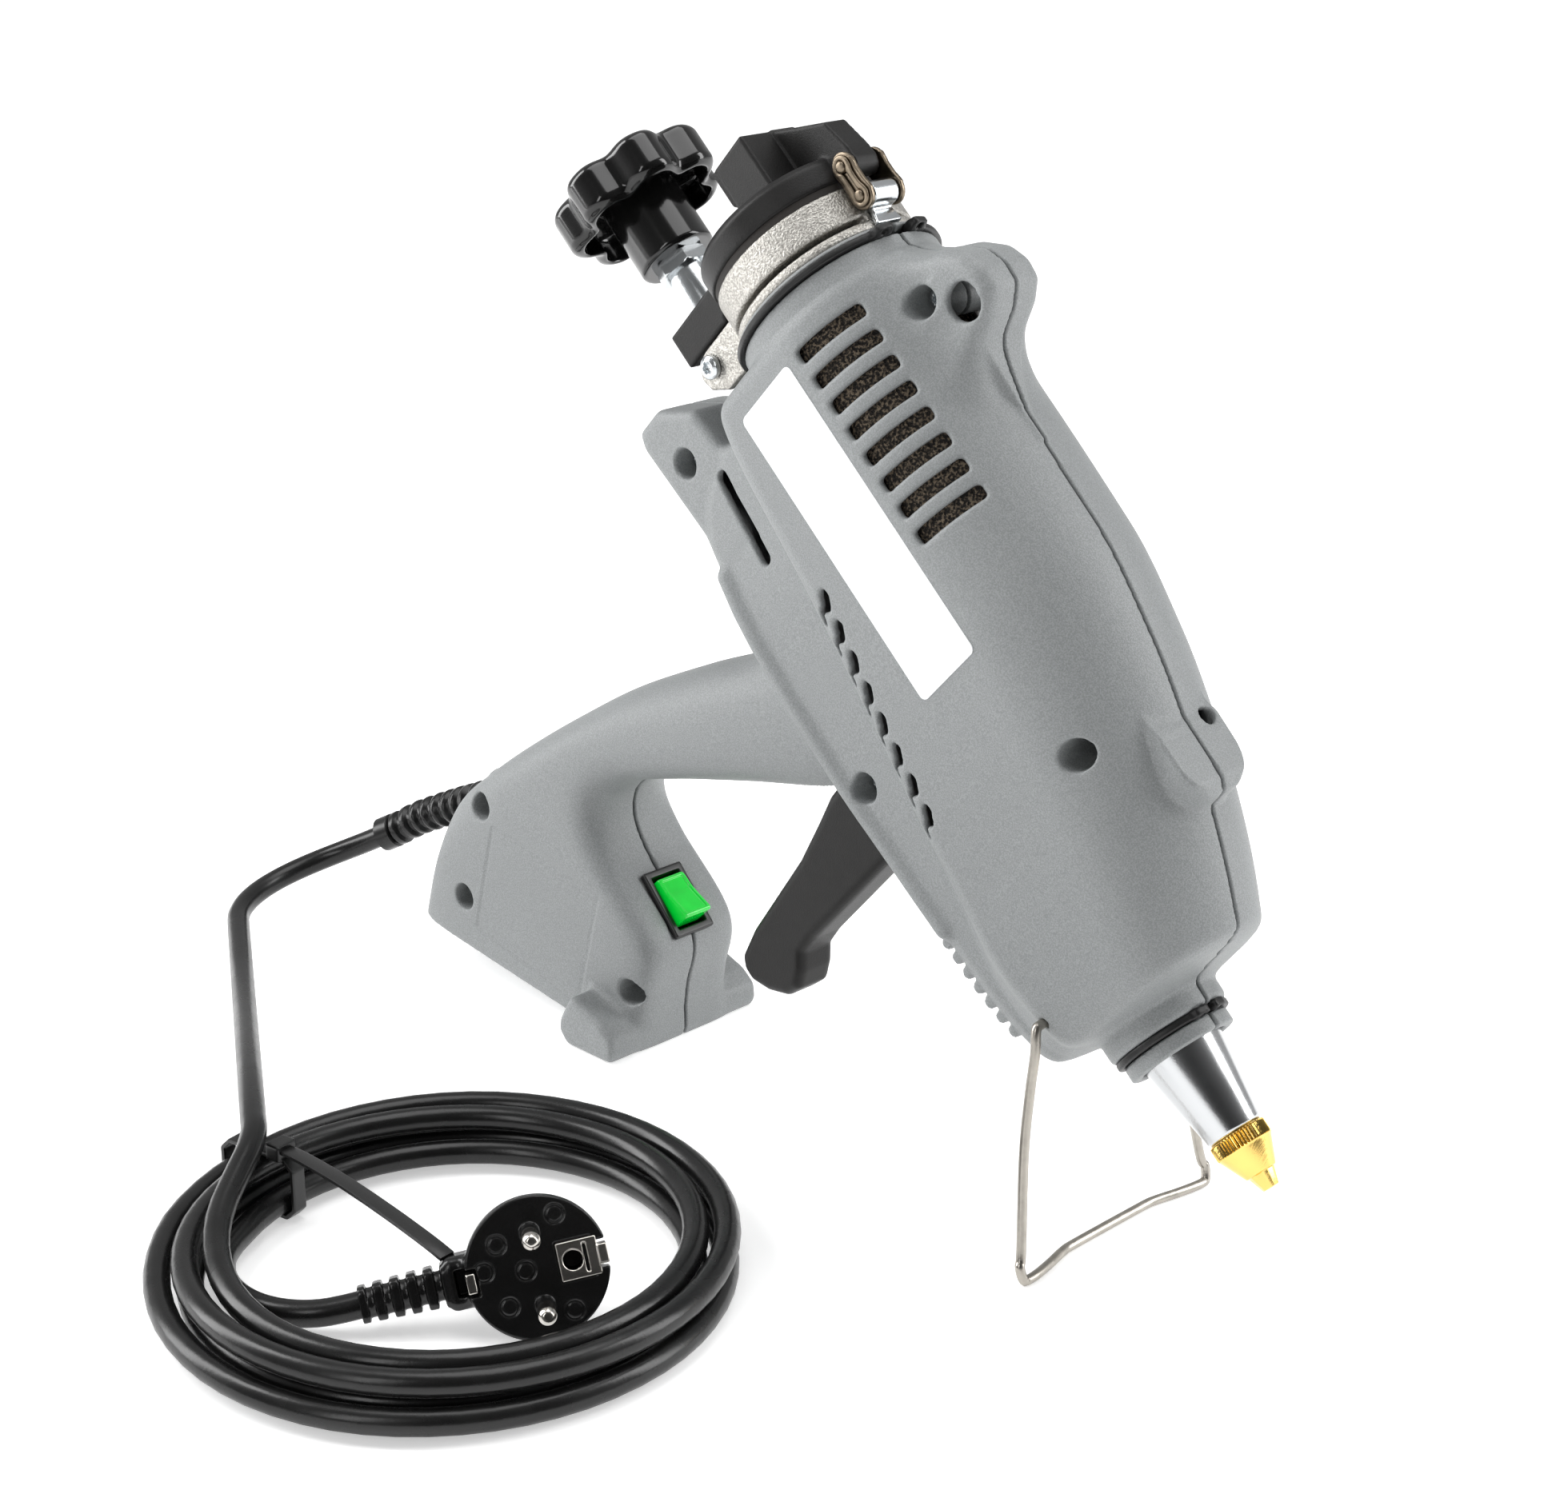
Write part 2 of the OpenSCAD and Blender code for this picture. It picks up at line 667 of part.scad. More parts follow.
module trunnion_screws() {
    out = ear_in + ear_t + 0.3;
    color("silver") standing() for (side = [-1, 1]) mirror([0, side < 0 ? 1 : 0, 0]) {
        rod_y(2, stud_r + 1.4, out + 1, pin_x, stud_z);
        rod_y(3.4, out, out + 2, pin_x, stud_z);
    }
}

module clamp_sleeve() {
    color([0.8, 0.83, 0.85]) standing() difference() {
        union() {
            rod_x(sleeve_r, hub_end + 3.5, rim_x - 1.5, stud_z);
            translate([hub_end + 4.5, 0, stud_z]) rotate([0, -90, 0])
                cylinder(r = hex_af / sqrt(3), h = 4.5, $fn = 6);
        }
        rod_x(stud_r + run_fit, hub_end - 13, rim_x + 3, stud_z);
    }
}

module star_knob() {
    lobe_r = knob_r / 4;
    color([0.05, 0.05, 0.05]) standing() translate([0, 0, stud_z]) difference() {
        union() {
            rod_x(hub_r, lobe_x, hub_end);
            translate([knob_face, 0, 0]) rotate([0, 90, 0]) linear_extrude(height = lobe_x - knob_face)
                star_outline(lobe_r);
        }
        translate([lobe_x - 8, 0, 0]) rotate([0, 90, 0]) difference() {
            cylinder(r = knob_r - 7, h = 9);
            translate([0, 0, -past]) cylinder(r = hub_r, h = 12);
        }
        rod_x(stud_r + run_fit, lobe_x - 4, hub_end + past);
    }
}

// Round disc with lobes and hollows between them
module star_outline(lobe_r) {
    difference() {
        union() {
            circle(r = knob_r - lobe_r * 0.75);
            for (i = [0 : knob_lobes - 1]) rotate(i * 360 / knob_lobes)
                translate([knob_r - lobe_r, 0]) circle(r = lobe_r);
        }
        for (i = [0 : knob_lobes - 1]) rotate((i + 0.5) * 360 / knob_lobes)
            translate([knob_r + lobe_r * 0.35, 0]) circle(r = lobe_r * 0.9);
    }
}

// Nozzle and plunger

module nozzle_pipe() {
    color([0.85, 0.86, 0.87]) standing() difference() {
        union() {
            rod_x(pipe_thread_r, block_front - pipe_thread, cone_back);
            rod_x(cone_r, -52, cone_back);
            cone_x(cone_r, cone_tip_r, cone_back, cone_front);
        }
        rod_x(plunger_r + 0.3, block_front - 10, cone_front + past);
        rod_x(6 + seat_fit, cone_front - 8, cone_front + past);
    }
}

module nozzle() {
    color([0.8, 0.62, 0.25]) standing() difference() {
        union() {
            rod_x(6, cone_front - 7.8, cone_front + past);
            rod_x(cone_tip_r + 0.3, cone_front, -12);
            cone_x(cone_tip_r + 0.3, 4.4, -12, -4.6);
            cone_x(3.8, 2.3, -4.6, 0);
        }
        rod_x(plunger_r + 0.3, cone_front - 10, -13);
        cone_x(plunger_r + 0.3, 0.9, -13, -6);
        rod_x(0.9, -7, past);
    }
}

module valve_plunger() {
    color([0.7, 0.7, 0.72]) standing() {
        rod_x(plunger_r, plunger_back, -26);
        rod_x(plunger_r + 2.5, plunger_back, plunger_back + 3);
    }
}

module plunger_spring() {
    color([0.6, 0.62, 0.65]) standing() difference() {
        rod_x(plunger_r + 2.6, block_back + 7, block_back + spring_well);
        rod_x(plunger_r + free_gap, block_back, block_back + spring_well + past);
    }
}

// Trigger lever on the post of the pivot screw
module trigger() {
    outline = [[-156, -24], [-154, -18], [-152, -6], [-151.4, trigger_nose_z], [-146, trigger_nose_z],
        [-144.5, -18], [-138, -26], [-133, -40], [-132, -48], [-131, -94], [-130, -101], [-126, -105.5],
        [-123, -111], [-124, -117], [-129, -123], [-135, -127], [-139.5, -127], [-142.8, -124.6],
        [-146, -114], [-151, -81], [-155, -66], [-158, -56], [-159, -44], [-158.5, -34]];
    color([0.09, 0.09, 0.09]) standing() difference() {
        union() {
            slab(outline, trigger_w);
            rod_y(trigger_nose_r, -trigger_w / 2, trigger_w / 2, pivot_x, trigger_nose_z);
        }
        rod_y(post_r + seat_fit, -trigger_w, trigger_w, pivot_x, pivot_z);
    }
}

module trigger_spring() {
    color([0.6, 0.62, 0.65]) standing() difference() {
        rod_y(post_r + 1.9, trigger_w / 2 + free_gap, trigger_w / 2 + 3, pivot_x, pivot_z);
        rod_y(post_r + run_fit, 0, trigger_w, pivot_x, pivot_z);
    }
}

module heater_cartridges() {
    color([0.7, 0.7, 0.7]) standing() for (side = [-1, 1])
        rod_x(heater_r, block_back - 2, block_back + 40, heater_z, side * heater_y);
}

module thermostat() {
    color([0.2, 0.2, 0.2]) standing() {
        rod_y(6, block_half, block_half + 4, -105, 4);
        rod_y(3.5, block_half + 3, block_half + 7, -105, 4);
    }
}

// Folding stand of bent wire
module wire_stand() {
    hub = stood(stand_x, 0, stand_z);
    floor_z = wire_r;
    drop = hub[2] - floor_z;
    half = bar_w / 2;
    side = [[0, stand_in, 0], [0, stand_y - 2, 0], [0.3, stand_y, -1], [1.2, stand_y + 1.2, -7],
        [1.4, stand_y + 3, -0.25 * drop], [2.5, stand_y + 6, -0.5 * drop], [6, half - 1.5, -0.88 * drop],
        [7, half, -drop + 4], [8, half - 1, -drop], [8, half - 5, -drop], [6.8, half - 12, -drop],
        [5, half - 20, -drop], [4.6, half - 26, -drop]];
    last = len(side) - 1;
    path = concat(side, [for (i = [last : -1 : 0]) [side[i][0], -side[i][1], side[i][2]]]);
    color([0.66, 0.64, 0.6]) translate(hub) tube(path, wire_r, 10, unit([1, 0, 0.07]));
}

// Rocker switch in the base

module switch_body() {
    color([0.07, 0.07, 0.07]) standing() at_switch() difference() {
        union() {
            block(-switch_l / 2, switch_l / 2, -switch_w / 2, switch_w / 2, -0.3, 2);
            block(-9.6, 9.6, -6.7, 6.7, -19, 0);
            for (x = [-6, 0, 6]) block(x - 0.4, x + 0.4, -2.4, 2.4, -25, -18);
        }
        block(-9, 9, -rocker_w / 2 - 0.4, rocker_w / 2 + 0.4, -7, 4);
        rod_y(1.05, -6.4, 6.4, 0, 0);
    }
}

module rocker() {
    half = rocker_l / 2;
    outline = [[-half, -2.6], [-half, 3.4], [-half + 0.8, 4], [-2, 4.6], [half - 0.8, 7.6], [half, 7], [half, -1],
        [0, -3.4]];
    color([0.05, 0.75, 0.15]) standing() at_switch() {
        slab(outline, rocker_w);
        rod_y(0.95, -6.2, 6.2, 0, 0);
    }
}

// Control board with its terminal block and relay
module control_board() {
    color([0.1, 0.35, 0.15]) standing() translate([-195, 0, -181]) rotate([0, -28, 0]) {
        block(-24, 24, board_y - 1.6, board_y, -11, 13);
        block(-20, -8, 1.5, 7.4, -8, 6);
        block(4, 14, 0, 7.4, -6, 8);
        for (x = [-4, 0]) rod_y(1.5, 2, 7.4, x, 6);
    }
}

// Mains lead

// Ribbed strain relief that follows the lead out of the handle
function rib_r(i, n) = i > n - 4 ? gland_r + 0.3 : i < n * 0.3 ? gland_r - 1.2
    : gland_r - 1.2 + (i % 4 < 2 ? 1.2 : 0);
module cord_gland() {
    path = spline(GLAND, 8);
    n = len(path) - 1;
    color([0.06, 0.06, 0.06]) {
        loft([for (i = [0 : n])
            tube_ring(path[i], i == n ? gland_out : tangent(path, i), rib_r(i, n), 12, [0, 0, 1])]);
        standing() at_gland() {
            translate([0, 0, -spigot]) cylinder(r = gland_r - 1.8, h = spigot + past);
            translate([0, 0, 0.2]) cylinder(r = gland_r + 1, h = 3);
        }
    }
}

// Loops spiral out in the upper layer, drop in the half turn at the rim, and spiral in below
function coil_radius(t) = coil_in_r + coil_pitch * (t < coil_turns ? t : coil_loops - t);
function coil_height(t) = let (s = min(max((t - coil_turns + 0.25) * 2, 0), 1), e = max(1 - t / coil_ease, 0))
    blend(coil_high, coil_low, s * s * (3 - 2 * s)) + coil_pitch * e * e;
function coil_at(t) = let (w = coil_start + 360 * t, r = coil_radius(t))
    [coil_c[0] + r * cos(w), coil_c[1] + r * sin(w), coil_height(t)];
coil_ease = 0.2;
coil_rings = 24;
coil_span = coil_loops + coil_end / 360;
coil_steps = round(coil_span * coil_rings);
coil_head = unit(coil_at(0.01) - coil_at(0));
coil_tail = unit(coil_at(coil_span) - coil_at(coil_span - 0.01));
COIL = concat([coil_at(0) - coil_head * 2 * lead_r],
    [for (i = [0 : coil_steps]) coil_at(i * coil_span / coil_steps)],
    [coil_at(coil_span) + coil_tail * 2 * lead_r]);
// Least gap between turns, measured on the ring centres half a turn or more apart
coil_clear = min([for (i = [0 : len(COIL) - 1]) for (j = [i + coil_rings / 2 : 1 : len(COIL) - 1])
    norm(COIL[i] - COIL[j])]) - 2 * lead_r;
echo(coil_clear = coil_clear);

// Route points of the free stretches, chosen by hand in the standing frame
LEAD = concat([gland_end], [
    [-205.71, -10.19, 24.56], [-211.86, -14.69, 21.04], [-216.8, -20.79, 18.07], [-220.04, -28.14, 15.67],
    [-221.21, -36.24, 13.81], [-220.13, -44.44, 12.45], [-216.82, -52.09, 11.51], [-211.5, -58.55, 10.93],
    [-204.71, -63.48, 10.63], [-197.69, -68.11, 10.51], [-190.67, -72.74, 10.5], [-176.62, -82, 10.75],
    [-162.61, -91.24, 11.92], [-148.65, -100.44, 13.81], [-134.74, -109.6, 16.17],
    [-120.85, -118.75, 18.73], [-106.96, -127.91, 21.27], [-93.04, -137.08, 23.53],
    [-86.06, -141.68, 24.47], [-79.07, -146.29, 25.26], [-72.06, -150.91, 25.85], [-65.05, -155.54, 26.2],
    [-58.07, -160.24, 26.28], [-52.08, -166.04, 25.37]],
    [COIL[0]]);
plug_dir = plug_vector([-1, 0, 0]);
plug_end = plug_c + plug_vector([-relief_l, 0, relief_z]);
TAIL = concat([COIL[len(COIL) - 1]], [
    [-40.4, -183.35, 5.3], [-36.81, -186.89, 5.3], [-32.72, -189.72, 5.29], [-28.21, -191.82, 5.27],
    [-23.44, -193.12, 5.25], [-18.57, -193.59, 5.25], [-13.7, -193.24, 5.29], [-8.96, -192.1, 5.4],
    [-4.48, -190.2, 5.6], [-0.34, -187.57, 5.92], [3.34, -184.29, 6.39]],
    [plug_end + plug_dir * 5, plug_end]);

// Plug axes in the standing frame: z out of the face, -x along the lead's exit
function rot_x(p, w) = [p[0], p[1] * cos(w) - p[2] * sin(w), p[1] * sin(w) + p[2] * cos(w)];
function rot_z(p, w) = [p[0] * cos(w) - p[1] * sin(w), p[0] * sin(w) + p[1] * cos(w), p[2]];
function plug_vector(p) = rot_z(rot_x(rot_z(p, plug_roll), 90 - plug_lean), plug_turn);
module at_plug() {
    translate(plug_c) rotate([0, 0, plug_turn]) rotate([90 - plug_lean, 0, 0]) rotate([0, 0, plug_roll])
        children();
}

// Stretch of lead whose end faces look along given directions
module stretch(p, start, end) {
    n = len(p) - 1;
    loft([for (i = [0 : n])
        tube_ring(p[i], i == 0 ? start : i == n ? end : tangent(p, i), lead_r, 10, [0, 0, 1])]);
}

module mains_lead() {
    color([0.05, 0.05, 0.05]) stretch(spline(LEAD, 2), gland_out, coil_head);
}

module lead_coil() {
    color([0.05, 0.05, 0.05]) tube(COIL, lead_r, 6);
}

module lead_tail() {
    color([0.05, 0.05, 0.05]) stretch(spline(TAIL, 2), coil_tail, -plug_dir);
}

// Tie strap round the bundle of loops
module strap_outline(d) {
    r0 = coil_in_r - lead_r - 0.5 - d;
    r1 = coil_out_r + lead_r + 0.5 + d;
    z0 = coil_low - lead_r - 0.2 - d;
    z1 = coil_high + lead_r + 0.5 + d;
    c = 2.5;
    polygon([[r0 + c, z0], [r1 - c, z0], [r1, z0 + c], [r1, z1 - c], [r1 - c, z1], [r0 + c, z1], [r0, z1 - c],
        [r0, z0 + c]]);
}

module cable_tie() {
    head_x = coil_in_r - 1.5;
    color([0.04, 0.04, 0.04]) translate([coil_c[0], coil_c[1], 0]) rotate([0, 0, tie_angle]) {
        rotate([90, 0, 0]) linear_extrude(height = tie_w, center = true) difference() {
            strap_outline(tie_t - 0.2);
            strap_outline(0);
        }
        block(head_x, head_x + 5, -3.6, 3.6, coil_high + lead_r + 0.7, coil_high + lead_r + 5.5);
    }
}

// Right-angled plug with two round pins and side earth contacts
module plug_body() {
    color([0.05, 0.05, 0.05]) at_plug() difference() {
        union() {
            translate([0, 0, -4.5]) cylinder(r = plug_r, h = 4.5);
            translate([0, 0, -13]) cylinder(r1 = plug_r - 4, r2 = plug_r - 0.6, h = 8.6);
            translate([0, 0, -20]) cylinder(r1 = plug_r - 9, r2 = plug_r - 4, h = 7.1);
            translate([-17, 0, relief_z]) rotate([0, 90, 0]) cylinder(r = 7, h = 12);
            translate([-relief_l, 0, relief_z]) rotate([0, 90, 0]) cylinder(r1 = 4.6, r2 = 6, h = relief_l - 10);
            for (i = [0 : 4]) translate([-relief_l + 1 + 5.4 * i, 0, relief_z]) rotate([0, 90, 0])
                cylinder(r = 5.9, h = 2.6);
        }
        for (side = [-1, 1]) {
            translate([0, side * plug_pin_pitch / 2, -11]) cylinder(r = plug_pin_r + run_fit, h = 12);
            translate([side * (plug_r - 1.4) - 1.5, -3, -4]) cube([3, 6, 5]);
        }
    }
}

module plug_pins() {
    color([0.8, 0.8, 0.8]) at_plug() for (side = [-1, 1]) translate([0, side * plug_pin_pitch / 2, -10.8]) {
        cylinder(r = plug_pin_r, h = plug_pin_l + 9.4);
        translate([0, 0, plug_pin_l + 9.3]) cylinder(r1 = plug_pin_r, r2 = plug_pin_r - 1.1, h = 1.5);
    }
}

module plug_earth_clips() {
    color([0.75, 0.7, 0.6]) at_plug() for (side = [-1, 1])
        translate([side * (plug_r - 1.4) - 1.3, -2.6, -3.9]) cube([2.4, 5.2, 4.6]);
}

housing_left();
housing_right();
housing_screws();
melt_tank();
tank_insulation();
neck_snap_ring();
nose_snap_ring();
lid();
lid_seal();
lid_hinge_bracket();
link_plates();
link_pins();
link_spring_clip();
clamp_stud();
trunnion();
trunnion_screws();
clamp_sleeve();
star_knob();
nozzle_pipe();
nozzle();
valve_plunger();
plunger_spring();
trigger();
trigger_spring();
heater_cartridges();
thermostat();
wire_stand();
switch_body();
rocker();
control_board();
cord_gland();
mains_lead();
lead_coil();
lead_tail();
cable_tie();
plug_body();
plug_pins();
plug_earth_clips();
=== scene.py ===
"""Looks of a hand-held hot wax gun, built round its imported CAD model.

Builders work in millimetres, most of them in the gun frame: x forward along the nozzle axis from its tip,
y to the left, z up from the axis. Meshes are set down in the row frame, in metres.
"""

import math

import bpy
import numpy as np
import openvdb
from mathutils import Matrix, Vector


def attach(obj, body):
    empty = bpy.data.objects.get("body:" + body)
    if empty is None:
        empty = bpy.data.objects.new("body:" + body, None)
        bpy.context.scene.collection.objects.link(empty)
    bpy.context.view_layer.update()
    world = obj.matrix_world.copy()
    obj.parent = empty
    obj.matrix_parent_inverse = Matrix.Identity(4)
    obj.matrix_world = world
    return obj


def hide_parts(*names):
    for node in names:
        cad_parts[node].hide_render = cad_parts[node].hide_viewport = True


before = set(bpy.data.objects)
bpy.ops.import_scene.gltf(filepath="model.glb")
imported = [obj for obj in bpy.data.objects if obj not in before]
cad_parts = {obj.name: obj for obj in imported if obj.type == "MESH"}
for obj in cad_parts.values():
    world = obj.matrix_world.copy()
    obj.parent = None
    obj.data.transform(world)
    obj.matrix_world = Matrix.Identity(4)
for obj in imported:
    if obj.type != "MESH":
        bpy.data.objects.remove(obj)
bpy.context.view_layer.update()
scene = bpy.context.scene

# Frames
REST_TILT = math.radians(43)
COS, SIN = math.cos(REST_TILT), math.sin(REST_TILT)
FOOT = (-140, -176.5)
TIP = (163.4, 0, FOOT[0] * SIN - FOOT[1] * COS)
ROW = Matrix.Scale(0.001, 4)
GUN = ROW @ Matrix.Translation(TIP) @ Matrix.Rotation(REST_TILT, 4, "Y")


def turned(axis, degrees):
    return Matrix.Rotation(math.radians(degrees), 4, axis)


def show(name, data):
    """New object in the scene."""
    made = bpy.data.objects.new(name, data)
    scene.collection.objects.link(made)
    return made


# Camera at the photograph's place
CAMERA_AT = (0.5554, -0.566, 0.409)
CAMERA_LOOK = (-0.6638, 0.6591, -0.3535)
camera = show("camera", bpy.data.cameras.new("camera"))
camera.data.lens = 68.33
camera.data.sensor_width = 36
camera.location = CAMERA_AT
camera.rotation_euler = Vector(CAMERA_LOOK).to_track_quat("-Z", "Y").to_euler()
scene.camera = camera


# Materials

def fill(tree, socket, value):
    """Links an input from another node's output, or gives it a constant."""
    if isinstance(value, bpy.types.NodeSocket):
        tree.links.new(value, socket)
    else:
        socket.default_value = value


def feed(tree, node, **values):
    """Fills a node's inputs and changes its settings, by name."""
    for key, value in values.items():
        socket = node.inputs.get(key.replace("_", " "))
        if socket is None:
            setattr(node, key, value)
        else:
            fill(tree, socket, value)
    return node


def add(tree, kind, **values):
    return feed(tree, tree.nodes.new("ShaderNode" + kind), **values)


def ramp(tree, factor, stops):
    node = add(tree, "ValToRGB", Fac=factor)
    elements = node.color_ramp.elements
    while len(elements) < len(stops):
        elements.new(0.5)
    for element, (place, colour) in zip(elements, stops):
        element.position = place
        element.color = (*colour, 1)
    return node.outputs["Color"]


def blend(tree, share, a, b):
    """Mix of two colours."""
    node = add(tree, "Mix", data_type="RGBA", blend_type="MIX")
    for i, value in ((0, share), (6, a), (7, b)):
        fill(tree, node.inputs[i], value)
    return node.outputs[2]


def shade(colour, factor):
    return tuple(min(1.0, c * factor) for c in colour)


def finish(name, colour, rough, metal=0.0, tint=0.06, tint_scale=90, grain=0.1, grain_scale=2500,
           spread=0.06, streak=None, wear=0.0, speckle=None, coat=0.0, glow=0.0, depth=0.0002, shine=0.5):
    """Procedural finish: tinted base, fine grain, uneven gloss, and maybe streaks, edge wear and speckle."""
    made = bpy.data.materials.new(name)
    made.use_nodes = True
    tree = made.node_tree
    at = add(tree, "TexCoord").outputs["Object"]
    broad = add(tree, "TexNoise", Scale=tint_scale, Detail=4.0, Vector=at).outputs["Fac"]
    fine = add(tree, "TexNoise", Scale=grain_scale, Detail=3.0, Vector=at).outputs["Fac"]
    base = ramp(tree, broad, [(0.3, shade(colour, 1 - tint)), (0.7, shade(colour, 1 + tint))])
    if speckle:
        dark, pale, share = speckle
        base = blend(tree, share, base, ramp(tree, fine, [(0.42, dark), (0.5, colour), (0.62, pale)]))
    if wear:
        edge = add(tree, "NewGeometry").outputs["Pointiness"]
        worn = ramp(tree, edge, [(0.5, (0, 0, 0)), (0.62, (wear, wear, wear))])
        base = blend(tree, worn, base, (*shade(colour, 1.5), 1))
    gloss = add(tree, "MapRange", To_Min=max(0.02, rough - spread), To_Max=rough + spread, Value=broad)
    bump = add(tree, "Bump", Strength=grain, Distance=depth, Height=fine)
    if streak:
        place = add(tree, "Mapping", Rotation=(0, REST_TILT, 0), Scale=streak[:3], Vector=at)
        lines = add(tree, "TexNoise", Scale=1.0, Detail=2.0, Vector=place.outputs["Vector"])
        bump = add(tree, "Bump", Strength=streak[3], Distance=depth, Height=lines.outputs["Fac"],
                   Normal=bump.outputs["Normal"])
    shader = feed(tree, tree.nodes["Principled BSDF"], Base_Color=base, Roughness=gloss.outputs["Result"],
                  Metallic=metal, Specular_IOR_Level=shine, Normal=bump.outputs["Normal"])
    if coat:
        feed(tree, shader, Coat_Weight=coat, Coat_Roughness=0.08)
    if glow:
        feed(tree, shader, Emission_Color=(*colour, 1), Emission_Strength=glow)
    return made


# Finishes by record slot; the blank label has none
FINISHES = {
    "housing": finish("grey_moulding", (0.228, 0.239, 0.241), 0.48, grain=0.45, grain_scale=2600, tint=0.05,
        tint_scale=500, streak=(60, 60, 1500, 0.06), wear=0.25,
        speckle=((0.16, 0.168, 0.17), (0.31, 0.324, 0.327), 0.45)),
    "steel": finish("plain_steel", (0.5, 0.5, 0.51), 0.34, 1, streak=(2500, 60, 2500, 0.15)),
    "cast": finish("cast_aluminium", (0.43, 0.415, 0.385), 0.42, 1, tint=0.12, tint_scale=700, grain=0.75,
        grain_scale=1700, depth=0.0005, spread=0.12,
        speckle=((0.27, 0.26, 0.24), (0.62, 0.605, 0.57), 0.6)),
    # The felt's brown is darkened past its own colour, as painted shade for the deep vent slots it sits
    # behind
    "felt": finish("felt_darkened_as_painted_slot_shade", (0.05, 0.04, 0.03), 0.9, grain=1.0, grain_scale=1300, depth=0.0012,
        speckle=((0.008, 0.007, 0.006), (0.26, 0.205, 0.145), 0.9)),
    "black_steel": finish("blackened_steel", (0.02, 0.02, 0.02), 0.42, 0.5, grain=0.15, wear=0.2),
    "black_plastic": finish("grained_black_plastic", (0.0125, 0.012, 0.0118), 0.42, shine=0.22, grain=0.3,
        grain_scale=2400, tint=0.15, wear=0.15, streak=(1800, 90, 90, 0.05)),
    "seal": finish("dark_rubber", (0.02, 0.017, 0.015), 0.65, grain=0.2, shine=0.3),
    "zinc": finish("bright_zinc", (0.56, 0.585, 0.6), 0.19, 1, tint=0.04, streak=(2200, 50, 50, 0.12)),
    "bronze_steel": finish("browned_steel", (0.19, 0.155, 0.115), 0.33, 1, tint=0.2, tint_scale=400,
        wear=0.5),
    "gloss_black": finish("polished_black", (0.005, 0.005, 0.005), 0.15, shine=0.35, grain=0.03,
        grain_scale=300, spread=0.03, coat=0.4),
    "polished_aluminium": finish("turned_aluminium", (0.56, 0.57, 0.58), 0.19, 1, tint=0.02,
        streak=(4200, 20, 20, 0.12), spread=0.05),
    "brass": finish("turned_brass", (0.83, 0.57, 0.17), 0.2, 1, tint=0.05, streak=(3500, 20, 20, 0.2)),
    "stainless": finish("drawn_wire", (0.4, 0.375, 0.335), 0.3, 1, tint=0.12, tint_scale=300, grain=0.2),
    "switch_black": finish("satin_black", (0.011, 0.011, 0.011), 0.34, grain=0.1),
    # The green cap glows a little: painted light for its brightly lit faces, not a lamp inside the switch
    "green": finish("green_with_painted_glow", (0.0, 0.5, 0.03), 0.16, tint=0.12, tint_scale=160, grain=0.03, coat=0.5,
        glow=0.38),
    "board": finish("lacquered_board", (0.03, 0.15, 0.05), 0.3, tint=0.3, tint_scale=300),
    "cord": finish("black_sheath", (0.007, 0.007, 0.007), 0.27, shine=0.4, grain=0.12, grain_scale=900,
        spread=0.08, tint=0.25),
    "plug_black": finish("moulded_plug_black", (0.006, 0.006, 0.006), 0.24, shine=0.4, grain=0.12,
        grain_scale=1500, wear=0.1),
    "nickel": finish("nickel_plate", (0.58, 0.555, 0.515), 0.2, 1, tint=0.06, grain=0.08),
    None: finish("label_film", (0.86, 0.87, 0.88), 0.3, tint=0.015, grain=0.05, grain_scale=1200),
}


# Making pieces

def set_down(name, verts, faces, slot, body, node=None, place=GUN, angle=38):
    """New piece from a mesh in millimetres, in the finish of a record slot, riding on a body."""
    mesh = bpy.data.meshes.new(name)
    mesh.from_pydata(np.asarray(verts, float).tolist(), [], [list(map(int, f)) for f in faces])
    mesh.transform(place)
    mesh.validate()
    return adopt(name, mesh, slot, body, node, angle)


def adopt(name, mesh, slot, body, node, angle):
    """Piece from a mesh in metres, with edges sharp past an angle, or none and even normals."""
    mesh.shade_smooth()
    mesh.materials.append(FINISHES[slot])
    piece = show(name, mesh)
    if angle:
        mesh.set_sharp_from_angle(angle=math.radians(angle))
    else:
        piece.modifiers.new("weighted", "WEIGHTED_NORMAL").keep_sharp = False
    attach(piece, body)
    if node:
        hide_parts(node)
    return piece


def part_of(mesh):
    """Vertices and faces of a mesh."""
    return np.array([v.co[:] for v in mesh.vertices]), [tuple(p.vertices) for p in mesh.polygons]


def spline(points, steps):
    """Points of a smooth curve through the given ones."""
    p = [np.array(q, float) for q in points]
    last = len(p) - 1
    out = []
    for i in range(last):
        a, b, c, d = p[max(i - 1, 0)], p[i], p[i + 1], p[min(i + 2, last)]
        for s in range(steps):
            t = s / steps
            out.append(0.5 * (2 * b + (c - a) * t + (2 * a - 5 * b + 4 * c - d) * t * t
                              + (3 * b - a - 3 * c + d) * t ** 3))
    return np.array(out + [p[last]])


def fillet(points, r, steps=3):
    """Outline with its inner corners rounded off."""
    p = [np.array(q, float) for q in points]
    out = [p[0]]
    for a, b, c in zip(p, p[1:], p[2:]):
        u, v = a - b, c - b
        m, n = np.linalg.norm(u), np.linalg.norm(v)
        start, end = b + u / m * min(r, 0.45 * m), b + v / n * min(r, 0.45 * n)
        for t in np.linspace(0, 1, steps + 1):
            out.append((1 - t) ** 2 * start + 2 * t * (1 - t) * b + t * t * end)
    return out + [p[-1]]


def skin(rings, closed=False):
    """Faces over rings of equal size, with capped ends unless the rings close on themselves."""
    m, n = len(rings), len(rings[0])
    verts = np.concatenate([np.asarray(r, float) for r in rings])
    faces = []
    for i in range(m if closed else m - 1):
        a, b = i * n, (i + 1) % m * n
        faces += [(a + j, a + (j + 1) % n, b + (j + 1) % n, b + j) for j in range(n)]
    if not closed:
        faces += [tuple(range(n - 1, -1, -1)), tuple(range((m - 1) * n, m * n))]
    return verts, faces


